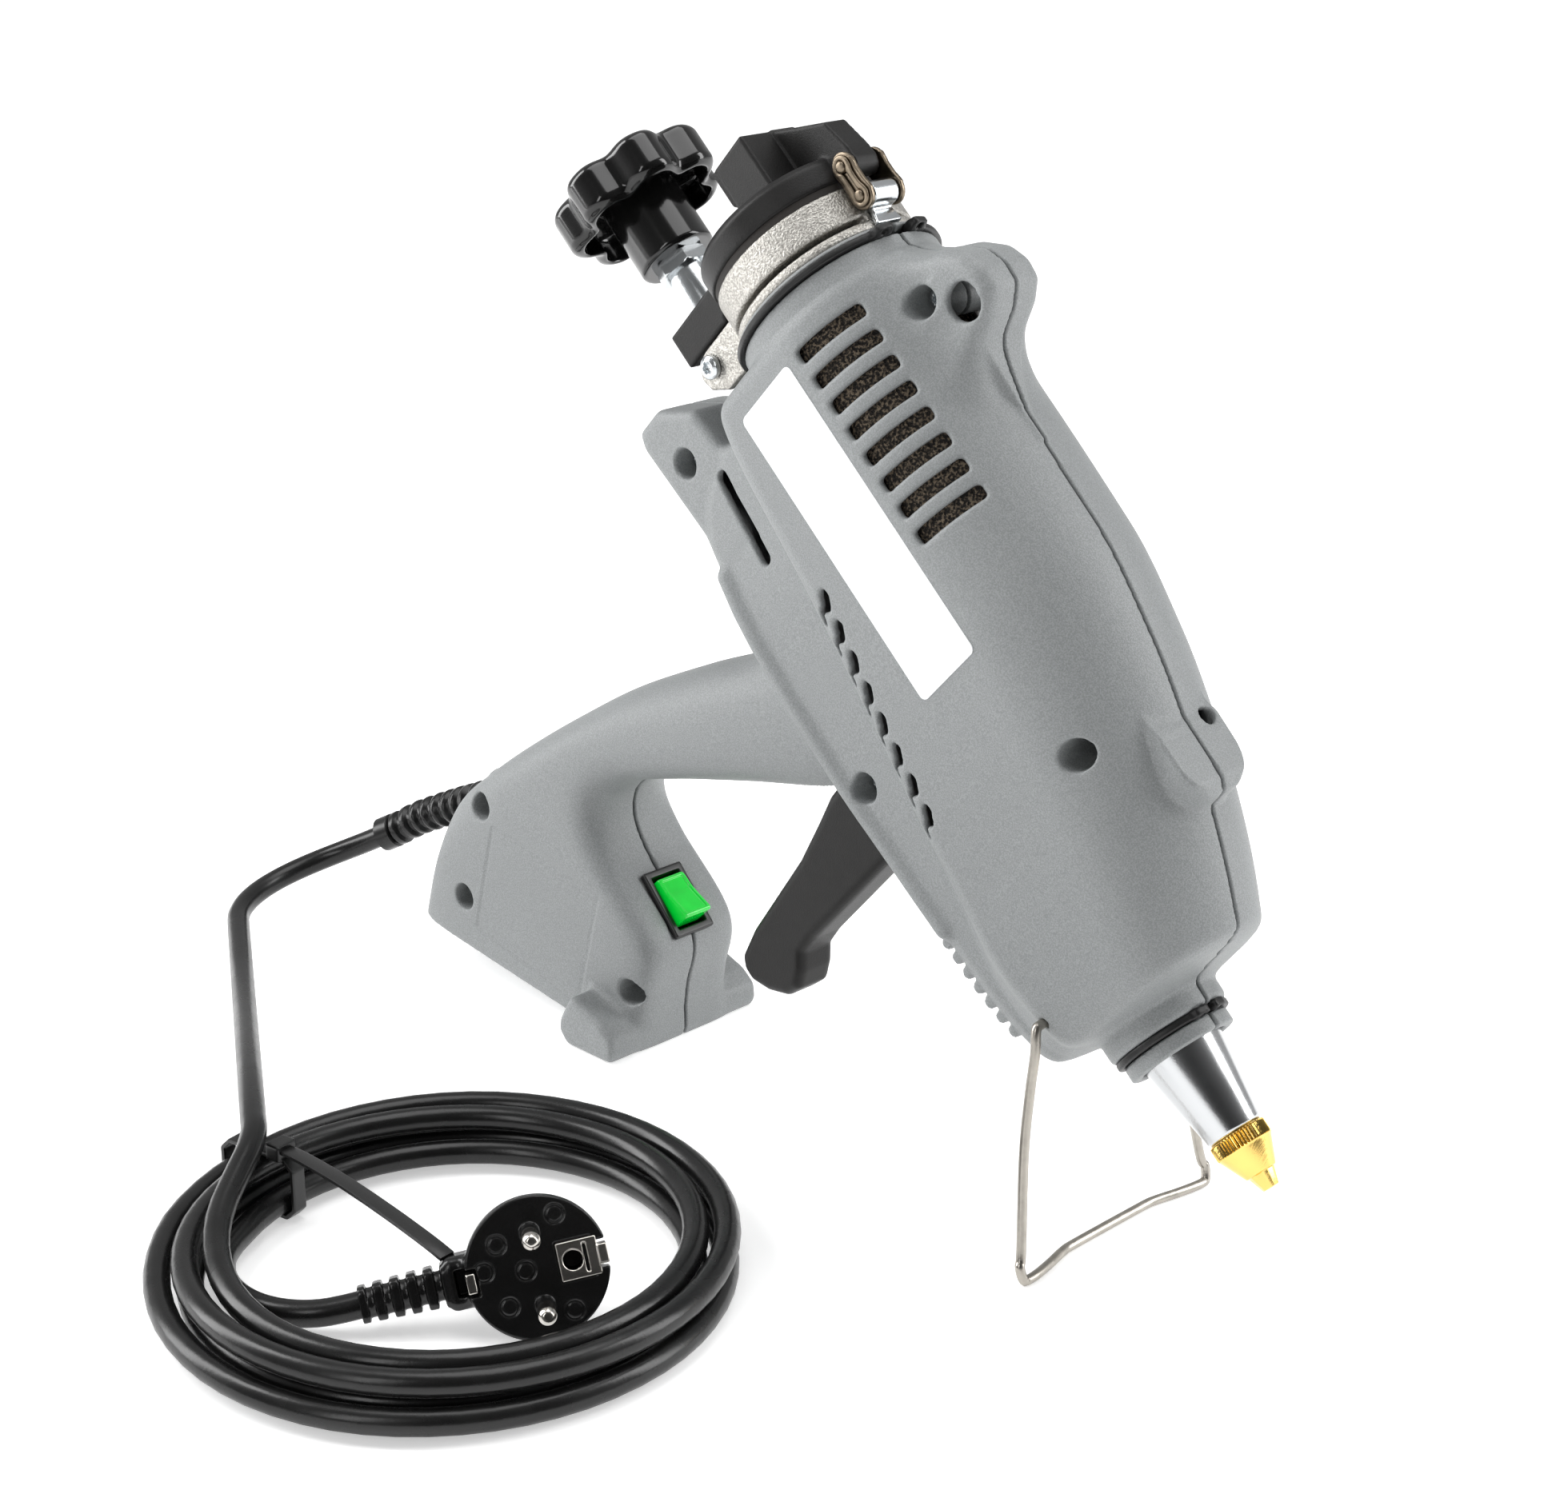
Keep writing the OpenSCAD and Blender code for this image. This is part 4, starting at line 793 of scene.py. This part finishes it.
def blank_label():
    """Thin plate with round corners that follows the housing's side."""
    r = 2.0
    x0, x1, z0, z1 = -240.5 + r, -149.0 - r, 20.0 + r, 45.0 - r
    edge = np.array([(cx + r * math.cos(a), cz + r * math.sin(a))
                     for cx, cz, start in ((x1, z1, 0), (x0, z1, 90), (x0, z0, 180), (x1, z0, 270))
                     for a in np.radians(np.linspace(start, start + 90, 6))])
    mid = edge.mean(0)
    rings = []
    for size, lift in ((0.02, -0.5), (1.0, -0.5), (1.0, 0.16), (0.996, 0.22), (0.7, 0.22), (0.35, 0.22),
                       (0.02, 0.22)):
        rings.append([(u, -float(station(u)[1]) - lift, v) for u, v in mid + (edge - mid) * size])
    return skin(rings)


set_down("blank_label", *blank_label(), None, "gun")


# Screws with a six-lobed socket

def screw(r, height, shank_r, shank):
    """Head and shank along x, the head's face at x = height."""
    profile = fillet([(-shank, 0), (-shank, shank_r), (0, shank_r), (0, r), (height * 0.72, r),
                      (height, r * 0.62), (height, r * 0.5), (height * 0.35, r * 0.46), (height * 0.3, 0)],
                     0.25, 2)

    def lobes(x, rr, w):
        rr = max(rr, 0.02)
        if x > height * 0.25 and rr < r * 0.55:
            return rr * (1 + 0.14 * np.cos(6 * w))
        return np.full(len(w), rr)
    return lathe(profile, 48, shape=lobes)


TO_RIGHT = turned("Z", -90)
TO_LEFT = turned("Z", 90)
set_down("housing_screw_set", *together(*[
    moved(screw(3.5, 2.4, 2.0, depth + 10), Matrix.Translation((u, -depth, v)) @ TO_RIGHT)
    for u, v, depth in SCREWS]), "zinc", "gun", "housing_screws")
set_down("trunnion_screw_pair", *together(
    *[moved(screw(3.4, 2.0, 2.0, 6.9), Matrix.Translation((CLAMP_PIN[0], y, CLAMP_PIN[1])) @ turn)
      for y, turn in ((-12.3, TO_RIGHT), (12.3, TO_LEFT))]),
    "zinc", "clamp", "trunnion_screws")


# Tank casting with its collar, ears and outlet block

def tank_casting():
    f = Field((-274, -30, -12), (-63, 30, 76), 0.65)
    f.join(rod_x(25, -262, -150, TANK_Z))
    f.join(rod_x(28, -273, -263.2, TANK_Z, edge=0.7), 1.5)
    f.join(rod_x(28.6, -261.6, -258.5, TANK_Z, edge=0.7), 1.6)
    f.join(cone_x(25, 18, -150, -128, TANK_Z), 0.5)
    for side in (-1, 1):
        f.join(slab([(-272.7, 22), (-272.7, 3), (-271.5, -1.5), (-267.7, -3.5), (-263.5, -2.5), (-259.5, 3),
                     (-258.6, 22)], 1.5, 0.7, side * 10.5), 1.5, near(-275, -255, -8, 26, 14, -14))
    f.join(block(-272, -258.5, -4.6, 4.6, 64.5, 72.6, 0.4), 0.8, near(-275, -255, 60, 76, 8, -8))
    f.join(block(-136, -64, -12.5, 12.5, -11, 27, 1.0), 2)
    f.cut(rod_x(22, -280, -149, TANK_Z), 0.6)
    f.cut(cone_x(22, 14, -149.5, -132, TANK_Z))
    f.cut(rod_x(4.05, -140, -60))
    f.cut(rod_x(7, -140, -114))
    f.cut(block(-271, -257, -4.7, 4.7, 72.6, 80, 0.2), 0.3, near(-275, -255, 68, 80, 8, -8))
    f.cut(rod_y(2.1, -20, 20, *CLAMP_PIN), 0.3, near(-272, -262, -2, 8, 16, -16))
    return f


tank_casting().piece("tank_casting", "cast", "gun", "melt_tank")


# Snap rings with drilled ends

def snap_ring(x0, z0, r_in, r_out, ear):
    gap = math.radians(7)

    def shape(x, y, z):
        r, turn = np.hypot(y, z - z0), np.abs(np.arctan2(y, z - z0))
        d = np.abs(r - (r_in + r_out) / 2) - (r_out - r_in) / 2
        return extrude(np.maximum(d, (gap - turn) * r_out), x - x0 - 1, 1, 0.3)
    f = Field((x0, -r_out - 1, z0 - r_out - 1), (x0 + 2, r_out + 1, z0 + r_out + ear), 0.4)
    f.join(shape)
    at = gap + math.radians(5)
    for side in (-1, 1):
        cy, cz = side * math.sin(at), math.cos(at)

        def tab(x, y, z, cy=cy, cz=cz):
            out, across = y * cy + (z - z0) * cz, y * cz - (z - z0) * cy
            d = np.hypot(np.maximum(np.abs(out - r_in - ear * 0.55) - ear * 0.3, 0),
                         np.maximum(np.abs(across) - ear * 0.35, 0)) - ear * 0.22
            return extrude(d, x - x0 - 1, 1, 0.3)
        f.join(tab, 1.5)
        f.cut(rod_x(ear * 0.2, x0 - 1, x0 + 3, z0 + cz * (r_in + ear * 0.7), cy * (r_in + ear * 0.7)), 0.3)
    return f


for name, ring, node in (("neck_ring", snap_ring(-256.75, TANK_Z, 28.6, 31.7, 5), "neck_snap_ring"),
                         ("nose_ring", snap_ring(-47.5, 0, 13.6, 16.9, 4), "nose_snap_ring")):
    ring.piece(name, "black_steel", "gun", node, ratio=0.5)


# Lid with its grip, hinge eye and fork

LINK_Z, LINK_BORE, LID_PIN, BRACKET_PIN = 76.2, 1.75, -276.3, -266.8
FINGER_BLOCK = [(-301.5, 45), (-301.5, 61), (-283, 61), (-283, 49), (-290.5, 45)]
LID_RIB = [(-301, 56), (-301, 61), (-290, 77.5), (-280, 79.6), (LID_PIN, 79.6), (LID_PIN, 72.8), (-277, 66),
           (-281, 54)]
FORK = [(-284.5, -6), (-284.5, 24), (-275, 24), (-275, 16), (-273.6, 16), (-273.6, -6)]


def lid_form():
    f = Field((-303, -29, -8), (-267, 29, 81), 0.5)
    f.join(rod_x(28, -284, -275, TANK_Z, edge=0.5))
    f.cut(lambda x, y, z: -(np.hypot(y, z - TANK_Z) - 28 - 0.9 * (x + 282)) * 0.74, 0.6)
    f.join(rod_x(20.8, -277, -268, TANK_Z, edge=0.6))
    f.join(slab(FINGER_BLOCK, 16, 0.6), 0.8)
    f.join(slab(LID_RIB, 4.2, 0.6), 0.8)
    f.join(rod_y(3.4, -4.2, 4.2, LID_PIN, LINK_Z), 0.8)
    f.join(slab(FORK, 11, 0.6), 1.0)
    f.cut(rod_x(6.7, -290, -270, STUD_Z), 0.6, near(-291, -269, -10, 12, 14, -14))
    f.cut(block(-290, -270, -6.7, 6.7, -12, STUD_Z), 0.6, near(-291, -269, -10, 4, 14, -14))
    f.cut(rod_y(LINK_BORE, -10, 10, LID_PIN, LINK_Z), 0.2, near(-280, -272, 72, 81, 10, -10))
    # Groove down the rib's slope, and the block's corner notches
    f.cut(tilted(lambda x, y, z: np.maximum(np.hypot(x, y) - 1.6, np.abs(z) - 8), -296, 69,
                 math.radians(39)), 0.4)
    f.cut(lambda x, y, z: np.maximum(np.abs(z - 46.2) + np.abs(np.abs(y) - 16.2) - 0.9, x + 284.6), 0.3)
    return f


lid_form().piece("lid_moulding", "black_plastic", "lid", "lid", ratio=0.35)


# Chain-link hinge

def link_bar(y0, half, r, waist, slot=False):
    """Plate with two round ends, bored for the pins."""
    f = Field((-281, y0 - half, 71), (-262, y0 + half, 81), 0.25)

    def shape(x, y, z):
        ends = np.minimum(np.hypot(x - LID_PIN, z - LINK_Z), np.hypot(x - BRACKET_PIN, z - LINK_Z)) - r
        bar = np.maximum(np.abs(x - (LID_PIN + BRACKET_PIN) / 2) - 4.75, np.abs(z - LINK_Z) - waist)
        return extrude(smin(ends, bar, 1.2), y - y0, half, 0.25)
    f.join(shape)
    for x0 in (LID_PIN, BRACKET_PIN):
        f.cut(rod_y(LINK_BORE, y0 - 3, y0 + 3, x0, LINK_Z), 0.2)
    if slot:
        f.cut(block(LID_PIN + 1, BRACKET_PIN - 1, y0 - 3, y0 + 3, LINK_Z - 0.7, LINK_Z + 0.7, 0.2))
    return f.mesh("bar", ratio=0.5)


def joined(name, meshes, slot, body, node):
    """One piece from several meshes already in the row frame."""
    set_down(name, *together(*map(part_of, meshes)), slot, body, node, Matrix.Identity(4), 0)


joined("link_plate_pair", [link_bar(y0, 0.7, 3.9, 3.75) for y0 in (-5.7, 5.7)], "bronze_steel", "gun",
       "link_plates")
joined("link_clip", [link_bar(-6.85, 0.4, 3.1, 2.5, slot=True)], "bronze_steel", "gun", "link_spring_clip")
pin = fillet([(-7.8, 0), (-7.8, 1.2), (-7.3, 1.7), (6.3, 1.7), (6.8, 1.2), (6.8, 0)], 0.3, 2)
set_down("link_pin_pair", *together(*[moved(lathe(pin, 28), Matrix.Translation((x0, 0, LINK_Z)) @ TO_LEFT)
                                      for x0 in (LID_PIN, BRACKET_PIN)]), "bronze_steel", "gun", "link_pins")


def bracket_plate(x, y, z):
    plate = block(BRACKET_PIN, -258.9, -4.6, 4.6, 72.6, 74.4, 0.3)(x, y, z)
    return np.maximum(plate, (np.abs(y) - 3.0 - 0.3 * np.maximum(x + 264.5, 0)) * 0.95)


Field((-271, -5, 72), (-258, 5, 81), 0.25).join(bracket_plate).join(
    rod_y(3.4, -4.6, 4.6, BRACKET_PIN, LINK_Z, 0.4), 1.5).cut(
    rod_y(LINK_BORE, -10, 10, BRACKET_PIN, LINK_Z), 0.2).piece(
    "hinge_bracket", "zinc", "gun", "lid_hinge_bracket", ratio=0.5)


# Clamp: stud, sleeve, trunnion and star knob

def hexagon(r_flat):
    def shape(x, r, w):
        turn = (w % (math.pi / 3)) - math.pi / 6
        return np.minimum(r, r_flat / np.cos(turn)) if r > r_flat * 0.9 else np.full(len(w), max(r, 0.02))
    return shape


set_down("stud_rod", *together(
    lathe(fillet([(-322.5, 0), (-322.5, 4), (-258.7, 4), (-258.7, 0)], 0.5), 40, (0, STUD_Z)),
    lathe(fillet([(-261.7, 0), (-261.7, 6.35), (-257.7, 6.35), (-257.7, 0)], 0.5), 48, (0, STUD_Z),
          hexagon(5.5))),
    "zinc", "knob", "clamp_stud")
set_down("sleeve_tube", *together(
    lathe(fillet([(-300, 4.05), (-300, 6), (-274.5, 6), (-274.5, 4.05)], 0.6), 56, (0, STUD_Z), closed=True),
    lathe(fillet([(-303.5, 4.05), (-303.5, 7.6), (-303, 8.08), (-299.4, 8.08), (-299, 7.6), (-299, 4.05)],
                 0.3), 72, (0, STUD_Z), hexagon(7.0), closed=True)),
    "zinc", "knob", "clamp_sleeve")


Field((-274, -9, -3), (-262, 9, 9), 0.4).join(rod_y(5.4, -8.6, 8.6, *CLAMP_PIN, 0.6)).cut(
    rod_x(4.05, -280, -255, STUD_Z), 0.3).piece("trunnion_pin", "steel", "clamp", "trunnion", ratio=0.5)

KNOB_LOBES = 7


def knob_form():
    f = Field((-334, -26, -23), (-303, 26, 29), 0.4)

    def rim(y, z):
        """Distance in the knob's plane to its lobed rim."""
        turn = np.arctan2(y, STUD_Z - z) * KNOB_LOBES
        return np.hypot(y, z - STUD_Z) - (22.8 + 2.0 * np.cos(turn) - 0.35 * np.cos(2 * turn))
    f.join(lambda x, y, z: extrude(rim(y, z) * 0.88, x + 326.75, 7.25, 3.2))
    f.cut(lambda x, y, z: extrude((rim(y, z) + 3.4) * 0.88, x + 323, 5.2, 2.0), 1.0)
    f.join(rod_x(11.5, -331.5, -303.5, STUD_Z, edge=1.2), 1.5)
    f.cut(rod_x(4.1, -323.5, -300, STUD_Z))
    return f


knob_form().piece("knob_moulding", "gloss_black", "knob", "star_knob", ratio=0.5)


# Nozzle

KNURLS = 48


def knurled(x, r, w):
    r = max(r, 0.02)
    if -16.2 < x < -12.3 and r > 7.5:
        return r + 0.3 * (np.abs(((w * KNURLS / (2 * math.pi)) % 1) - 0.5) * 4 - 1) - 0.3
    if -4.5 < x < 0.1 and r > 1.6:
        turn = (w % (math.pi / 3)) - math.pi / 6
        return np.minimum(r, r * 0.93 / np.cos(turn))
    return np.full(len(w), r)


set_down("nozzle_cone", *lathe(fillet([
    (-70, 4.3), (-70, 9), (-52, 9), (-52, 11.7), (-43, 11.7), (-17.2, 7.9), (-16.5, 7.2), (-16.5, 6.1),
    (-24, 6.1), (-24, 4.3)], 0.4), 96, closed=True), "polished_aluminium", "gun", "nozzle_pipe")
set_down("nozzle_tip", *lathe(fillet([
    (-24.2, 4.3), (-24.2, 6), (-16.5, 6), (-16.5, 7.6), (-16, 8.1), (-14.2, 8.1), (-12.4, 8.1), (-11.8, 7.7),
    (-4.6, 4.4), (-4.6, 3.8), (0, 2.3), (0, 0.9), (-6, 0.9), (-13, 4.3)], 0.25, 2), 6 * KNURLS, shape=knurled,
    closed=True), "brass", "gun", "nozzle")


# Trigger

TRIGGER = [
    (-156, -24), (-154, -18), (-152, -6), (-151.4, -3.5), (-146, -3.5), (-144.5, -18), (-138, -26),
    (-133, -40), (-132, -48), (-131, -94), (-130, -101), (-126, -105.5), (-123, -111), (-124, -117),
    (-129, -123), (-135, -127), (-139.5, -127), (-142.8, -124.6), (-146, -114), (-151, -81), (-155, -66),
    (-158, -56), (-159, -44), (-158.5, -34)]


def trigger_form():
    f = Field((-160, -7.5, -128), (-122, 7.5, 0), 0.5)
    f.join(slab(TRIGGER, 7, 2.6))
    f.join(rod_y(3, -7, 7, TRIGGER_PIVOT[0], -3.5, 0.5), 0.6)
    f.soften(2)
    f.cut(rod_y(5.3, -20, 20, *TRIGGER_PIVOT))
    return f


trigger_form().piece("trigger_lever", "black_plastic", "trigger", "trigger", ratio=0.4)


# Coil springs in place of the CAD sleeves

def helix(r, turns, start, end, per_turn=28):
    t = np.linspace(0, 1, int(turns * per_turn))
    w = t * turns * 2 * math.pi
    return np.stack([start + (end - start) * t, r * np.cos(w), r * np.sin(w)], 1)


set_down("plunger_coil_spring", *tube(helix(5.5, 6, -128.2, -114.8), 0.7, 10), "steel", "gun",
         "plunger_spring")
set_down("trigger_coil_spring", *moved(tube(helix(6.1, 2.5, 7.9, 9.5), 0.45, 10),
                                       Matrix.Translation((TRIGGER_PIVOT[0], 0, TRIGGER_PIVOT[1])) @ TO_LEFT),
         "steel", "gun", "trigger_spring")


# Folding wire stand

WIRE_R = 1.35


def stand_path():
    x, z = STAND_PIVOT
    hub = np.array((TIP[0] + x * COS + z * SIN, 0, TIP[2] - x * SIN + z * COS))
    drop, half, y0 = hub[2] - WIRE_R, 39.5, 28
    side = [(0, 19, 0), (0, y0 - 2, 0), (0.3, y0, -1), (1.2, y0 + 1.2, -7), (1.4, y0 + 3, -0.25 * drop),
            (2.5, y0 + 6, -0.5 * drop), (6, half - 1.5, -0.88 * drop), (7, half, -drop + 4),
            (8, half - 1, -drop), (8, half - 5, -drop), (6.8, half - 12, -drop), (5, half - 20, -drop),
            (4.6, half - 26, -drop)]
    path = spline(side + [(x, -y, z) for x, y, z in side[::-1]], 6) + hub
    path[:, 2] = np.maximum(path[:, 2], WIRE_R)
    return path


set_down("stand_wire", *tube(stand_path(), WIRE_R, 18), "stainless", "stand", "wire_stand", ROW)


# Rocker switch

SWITCH_FRAME = GUN @ Matrix.Translation((SWITCH[0], 0, SWITCH[1])) @ Matrix.Rotation(SWITCH_TILT, 4, "Y")


def bezel_form():
    f = Field((-12, -8, -25), (12, 8, 3), 0.35)
    f.join(block(-11.25, 11.25, -7.8, 7.8, -0.3, 2, 0.7))
    f.join(block(-9.6, 9.6, -6.7, 6.7, -19, 0, 0.3), 0.3)
    for x0 in (-6, 0, 6):
        f.join(block(x0 - 0.5, x0 + 0.5, -2.4, 2.4, -25, -18, 0.2), 0.2)
    f.cut(block(-9, 9, -5.6, 5.6, -7, 5, 0.3), 0.3)
    return f


ROCKER = [(-7.5, -2.6), (-7.5, 3.4), (-6.7, 4), (-2, 4.6), (6.7, 7.6), (7.5, 7), (7.5, -1), (0, -3.4)]
ROCKER_DISH = [(-6.3, 3.45), (-2, 4.1), (6.2, 6.95), (6.2, 14), (-6.3, 14)]
bezel_form().piece("switch_bezel", "switch_black", "gun", "switch_body", SWITCH_FRAME, 0.5)
Field((-8, -6.3, -4), (8, 6.3, 8), 0.25).join(slab(ROCKER, 5.2)).cut(slab(ROCKER_DISH, 4.1, 0.3)).join(
    rod_y(0.95, -6.2, 6.2, 0, 0, 0.2), 0.2).piece(
    "rocker_cap", "green", "rocker", "rocker", SWITCH_FRAME, 0.6)


# Ribbed strain relief

RIB_PITCH, RIB_CORE = 5.6, 4.25


def gland_ribs():
    route = [GLAND_EXIT - 3 * GLAND_DIR, GLAND_EXIT, GLAND_EXIT + 14 * GLAND_DIR, GLAND_EXIT + 28 * GLAND_DIR,
             (-184.5, -1.8, 37.5), GLAND_END - 8 * GLAND_OUT, GLAND_END]
    path = spline(route, 30)
    far = np.concatenate([[0], np.cumsum(np.linalg.norm(np.diff(path, axis=0), axis=1))])
    total = far[-1]
    ribs = np.clip(0.5 + 2.2 * np.sin((far - 7.5) * 2 * math.pi / RIB_PITCH), 0, 1)
    radii = RIB_CORE + (1.9 - 0.5 * far / total) * ribs
    radii[far > total - 5.5] = 5.8
    radii[far < 6.5] = 6.4
    radii[far <= 3] = 3.8
    radii = np.convolve(np.pad(radii, 1, mode="edge"), [0.2, 0.6, 0.2], "valid")
    return tube(path, radii, 36)


gland = set_down("strain_relief", *gland_ribs(), "cord", "gun", "cord_gland", ROW)


# Cable tie round the loops, with its loose end

TIE_FRAME = ROW @ Matrix.Translation((*COIL_C, 0)) @ turned("Z", 190)


def tie_form():
    f = Field((54, -4, 0), (83, 4, 24), 0.35)
    c = 2.5
    r0, r1, z0, z1 = 55.9, 80.9, 1.5, 17.8
    loop = [(r0 + c, z0), (r1 - c, z0), (r1, z0 + c), (r1, z1 - c), (r1 - c, z1), (r0 + c, z1), (r0, z1 - c),
            (r0, z0 + c)]
    f.join(lambda x, y, z: extrude(np.abs(outline(x, z, loop) - 0.6) - 0.6, y, 2.4, 0.25))
    f.join(block(58.5, 63.5, -3.6, 3.6, 18, 22.8, 0.6), 0.6)
    return f.mesh("tie", TIE_FRAME, 0.5)


def tie_tail():
    path = spline([(-53, -154.4, 20.6), (-44, -154.6, 21.4), (-25, -155.5, 22.2), (-5, -156.3, 21.6),
                   (12, -156.6, 20), (20, -156.2, 18.2)], 8)
    flat = np.array([(2.3, -0.45), (2.3, 0.45), (2.0, 0.6), (-2.0, 0.6), (-2.3, 0.45), (-2.3, -0.45),
                     (-2.0, -0.6), (2.0, -0.6)])
    verts, faces = tube(path, 1.0, section=flat)
    return verts / 1000, faces


tie = set_down("tie_strap", *together(part_of(tie_form()), tie_tail()), "switch_black", "gun", "cable_tie",
               Matrix.Identity(4), 30)


# Plug: z out of its face, the lead leaving along -x

PIN_Y = 9.5


def plug_form():
    f = Field((-47, -19, -21), (19, 19, 10), 0.4)
    back = [(0, -4), (0, 18.6), (-4.4, 18.6), (-5, 17.9), (-13, 14.6), (-20, 9.6), (-20, -4)]
    f.join(lambda x, y, z: outline(z, np.hypot(x, y), back))
    f.soften(1)
    f.join(block(-24, -6, -7, 7, -15.6, -4.6, 2.5), 2.5)

    def relief(x, y, z):
        t = np.clip((x + 46) / 26, 0, 1)
        a, b = np.abs(y) - 4.7 - 0.9 * t, np.abs(z + 10) - 4.3 - 0.8 * t
        return np.maximum(smax(a, b, 2.5), np.abs(x + 33) - 13)
    f.join(relief, 0.8)
    for i in range(5):
        x0 = -43 + 4.4 * i
        f.cut(lambda x, y, z, x0=x0: np.maximum(np.abs(x - x0) - 0.9, 3.9 - np.hypot(y, z + 10)), 0.4,
              near(x0 - 3, x0 + 3, -18, -2, 9))
    for side in (-1, 1):
        f.cut(block(*sorted((side * 15.4, side * 21)), -3.6, 3.6, -9, 3, 0.4))
        f.join(rod_z(2.4, -2, 8.6, 0, side * PIN_Y, 0.3), 0.5)
    for x0, y0 in ((-9, 8), (-9, -8), (-3, 0), (7, 12.5), (7, -12.5), (-13.5, 2)):
        def ring(x, y, z, x0=x0, y0=y0):
            return np.maximum(np.abs(np.hypot(x - x0, y - y0) - 2.3) - 0.25, -0.45 - z)
        f.cut(ring, 0.3, near(x0 - 4, x0 + 4, -2, 1, y0 + 4, y0 - 4))
    f.cut(block(5.2, 14.4, -5.2, 5.2, -0.5, 3, 0.2), 0.3)
    f.cut(rod_z(3.0, -8, 3, 9.2, 0, 0.2), 0.3)
    return f


plug = plug_form().piece("plug_moulding", "plug_black", "gun", "plug_body", PLUG, 0.4)


def pin_form(side):
    part = lathe(fillet([(-10.8, 0), (-10.8, 2.0), (8.4, 2.0), (8.4, 2.4), (17.6, 2.4), (19.1, 1.3),
                         (19.1, 0)], 0.6), 32)
    return moved(part, Matrix.Translation((0, side * PIN_Y, 0)) @ turned("Y", -90))


pins = set_down("plug_pin_pair", *together(pin_form(-1), pin_form(1)), "nickel", "gun", "plug_pins", PLUG)


def earth_form():
    f = Field((-19, -6, -5), (19, 6, 1), 0.3)
    for side in (-1, 1):
        f.join(block(*sorted((side * 15.9, side * 18.3)), -2.6, 2.6, -3.9, 0.7, 0.3))
    f.join(block(5.4, 16, -5.0, 5.0, -0.7, 0.35, 0.2))
    f.cut(rod_z(2.5, -3, 3, 9.2, 0, 0.1), 0.2)
    f.cut(block(12.2, 13.0, -3.6, 3.6, -3, 3, 0.1), 0.2)
    return f


earth = earth_form().piece("plug_earth_contacts", "nickel", "gun", "plug_earth_clips", PLUG, 0.5)


# CAD pieces that stay, in their finishes

for name, slot in (
        ("tank_insulation", "felt"), ("lid_seal", "seal"), ("valve_plunger", "steel"),
        ("heater_cartridges", "steel"), ("thermostat", "black_plastic"), ("control_board", "board")):
    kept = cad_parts[name]
    kept.data.materials.clear()
    kept.data.materials.append(FINISHES[slot])


# Floor and light

def floor():
    """Pale paper, in squares so that its glow is sampled close to the gun."""
    n, size = 12, 14.0
    mesh = bpy.data.meshes.new("floor")
    steps = np.linspace(-size / 2, size / 2, n)
    mesh.from_pydata([(x, y, 0) for x in steps for y in steps], [],
                     [(i * n + j, (i + 1) * n + j, (i + 1) * n + j + 1, i * n + j + 1)
                      for i in range(n - 1) for j in range(n - 1)])
    paper = finish("pale_floor", (0.9, 0.9, 0.9), 0.6, tint=0.004, grain=0.01, glow=0.5)
    tree = paper.node_tree
    span = add(tree, "VectorMath", operation="LENGTH", Vector=add(tree, "TexCoord").outputs["Object"])
    rise = add(tree, "MapRange", From_Min=0.35, From_Max=1.6, To_Min=0.5, To_Max=0.8,
               Value=span.outputs["Value"])
    feed(tree, tree.nodes["Principled BSDF"], Emission_Strength=rise.outputs["Result"])
    mesh.materials.append(paper)
    show("floor", mesh)


def softbox(name, at, aim, size, power):
    lamp = bpy.data.lights.new(name, "AREA")
    lamp.shape = "RECTANGLE"
    lamp.size, lamp.size_y = size
    lamp.energy = power
    lamp_at = show(name, lamp)
    lamp_at.location = at
    lamp_at.rotation_euler = (Vector(aim) - Vector(at)).to_track_quat("-Z", "Y").to_euler()


def studio():
    """Room that lights from white to a dark front side, and shows as plain white."""
    world = bpy.data.worlds.new("studio")
    world.use_nodes = True
    tree = world.node_tree
    toward = add(tree, "VectorMath", operation="DOT_PRODUCT",
                 Vector=add(tree, "TexCoord").outputs["Generated"])
    toward.inputs[1].default_value = Vector((0.68, -0.68, 0.1)).normalized()
    part = add(tree, "MapRange", From_Min=-1, Value=toward.outputs["Value"])
    greys = ((0.0, 1), (0.55, 0.9), (0.78, 0.3), (1.0, 0.06))
    tone = ramp(tree, part.outputs["Result"], [(place, (g, g, g)) for place, g in greys])
    light = feed(tree, tree.nodes["Background"], Color=tone, Strength=0.5)
    shown = add(tree, "Background", Color=(1, 1, 1, 1), Strength=1.0)
    either = add(tree, "MixShader")
    seen = add(tree, "LightPath").outputs["Is Camera Ray"]
    for socket, source in zip(either.inputs, (seen, light.outputs[0], shown.outputs[0])):
        fill(tree, socket, source)
    feed(tree, tree.nodes["World Output"], Surface=either.outputs[0])
    scene.world = world


floor()
studio()
softbox("left_box", (-0.95, -0.75, 0.75), (0, 0, 0.13), (0.5, 1.4), 17)
softbox("right_box", (1.0, 0.85, 0.8), (0.03, 0, 0.12), (0.5, 1.4), 15)
softbox("front_box", (0.35, -1.5, 0.9), (0.03, 0, 0.12), (0.35, 1.0), 5)
softbox("top_box", (0.0, 0.1, 1.5), (0.02, -0.02, 0.1), (1.0, 1.0), 9)
scene.view_settings.view_transform = "Standard"
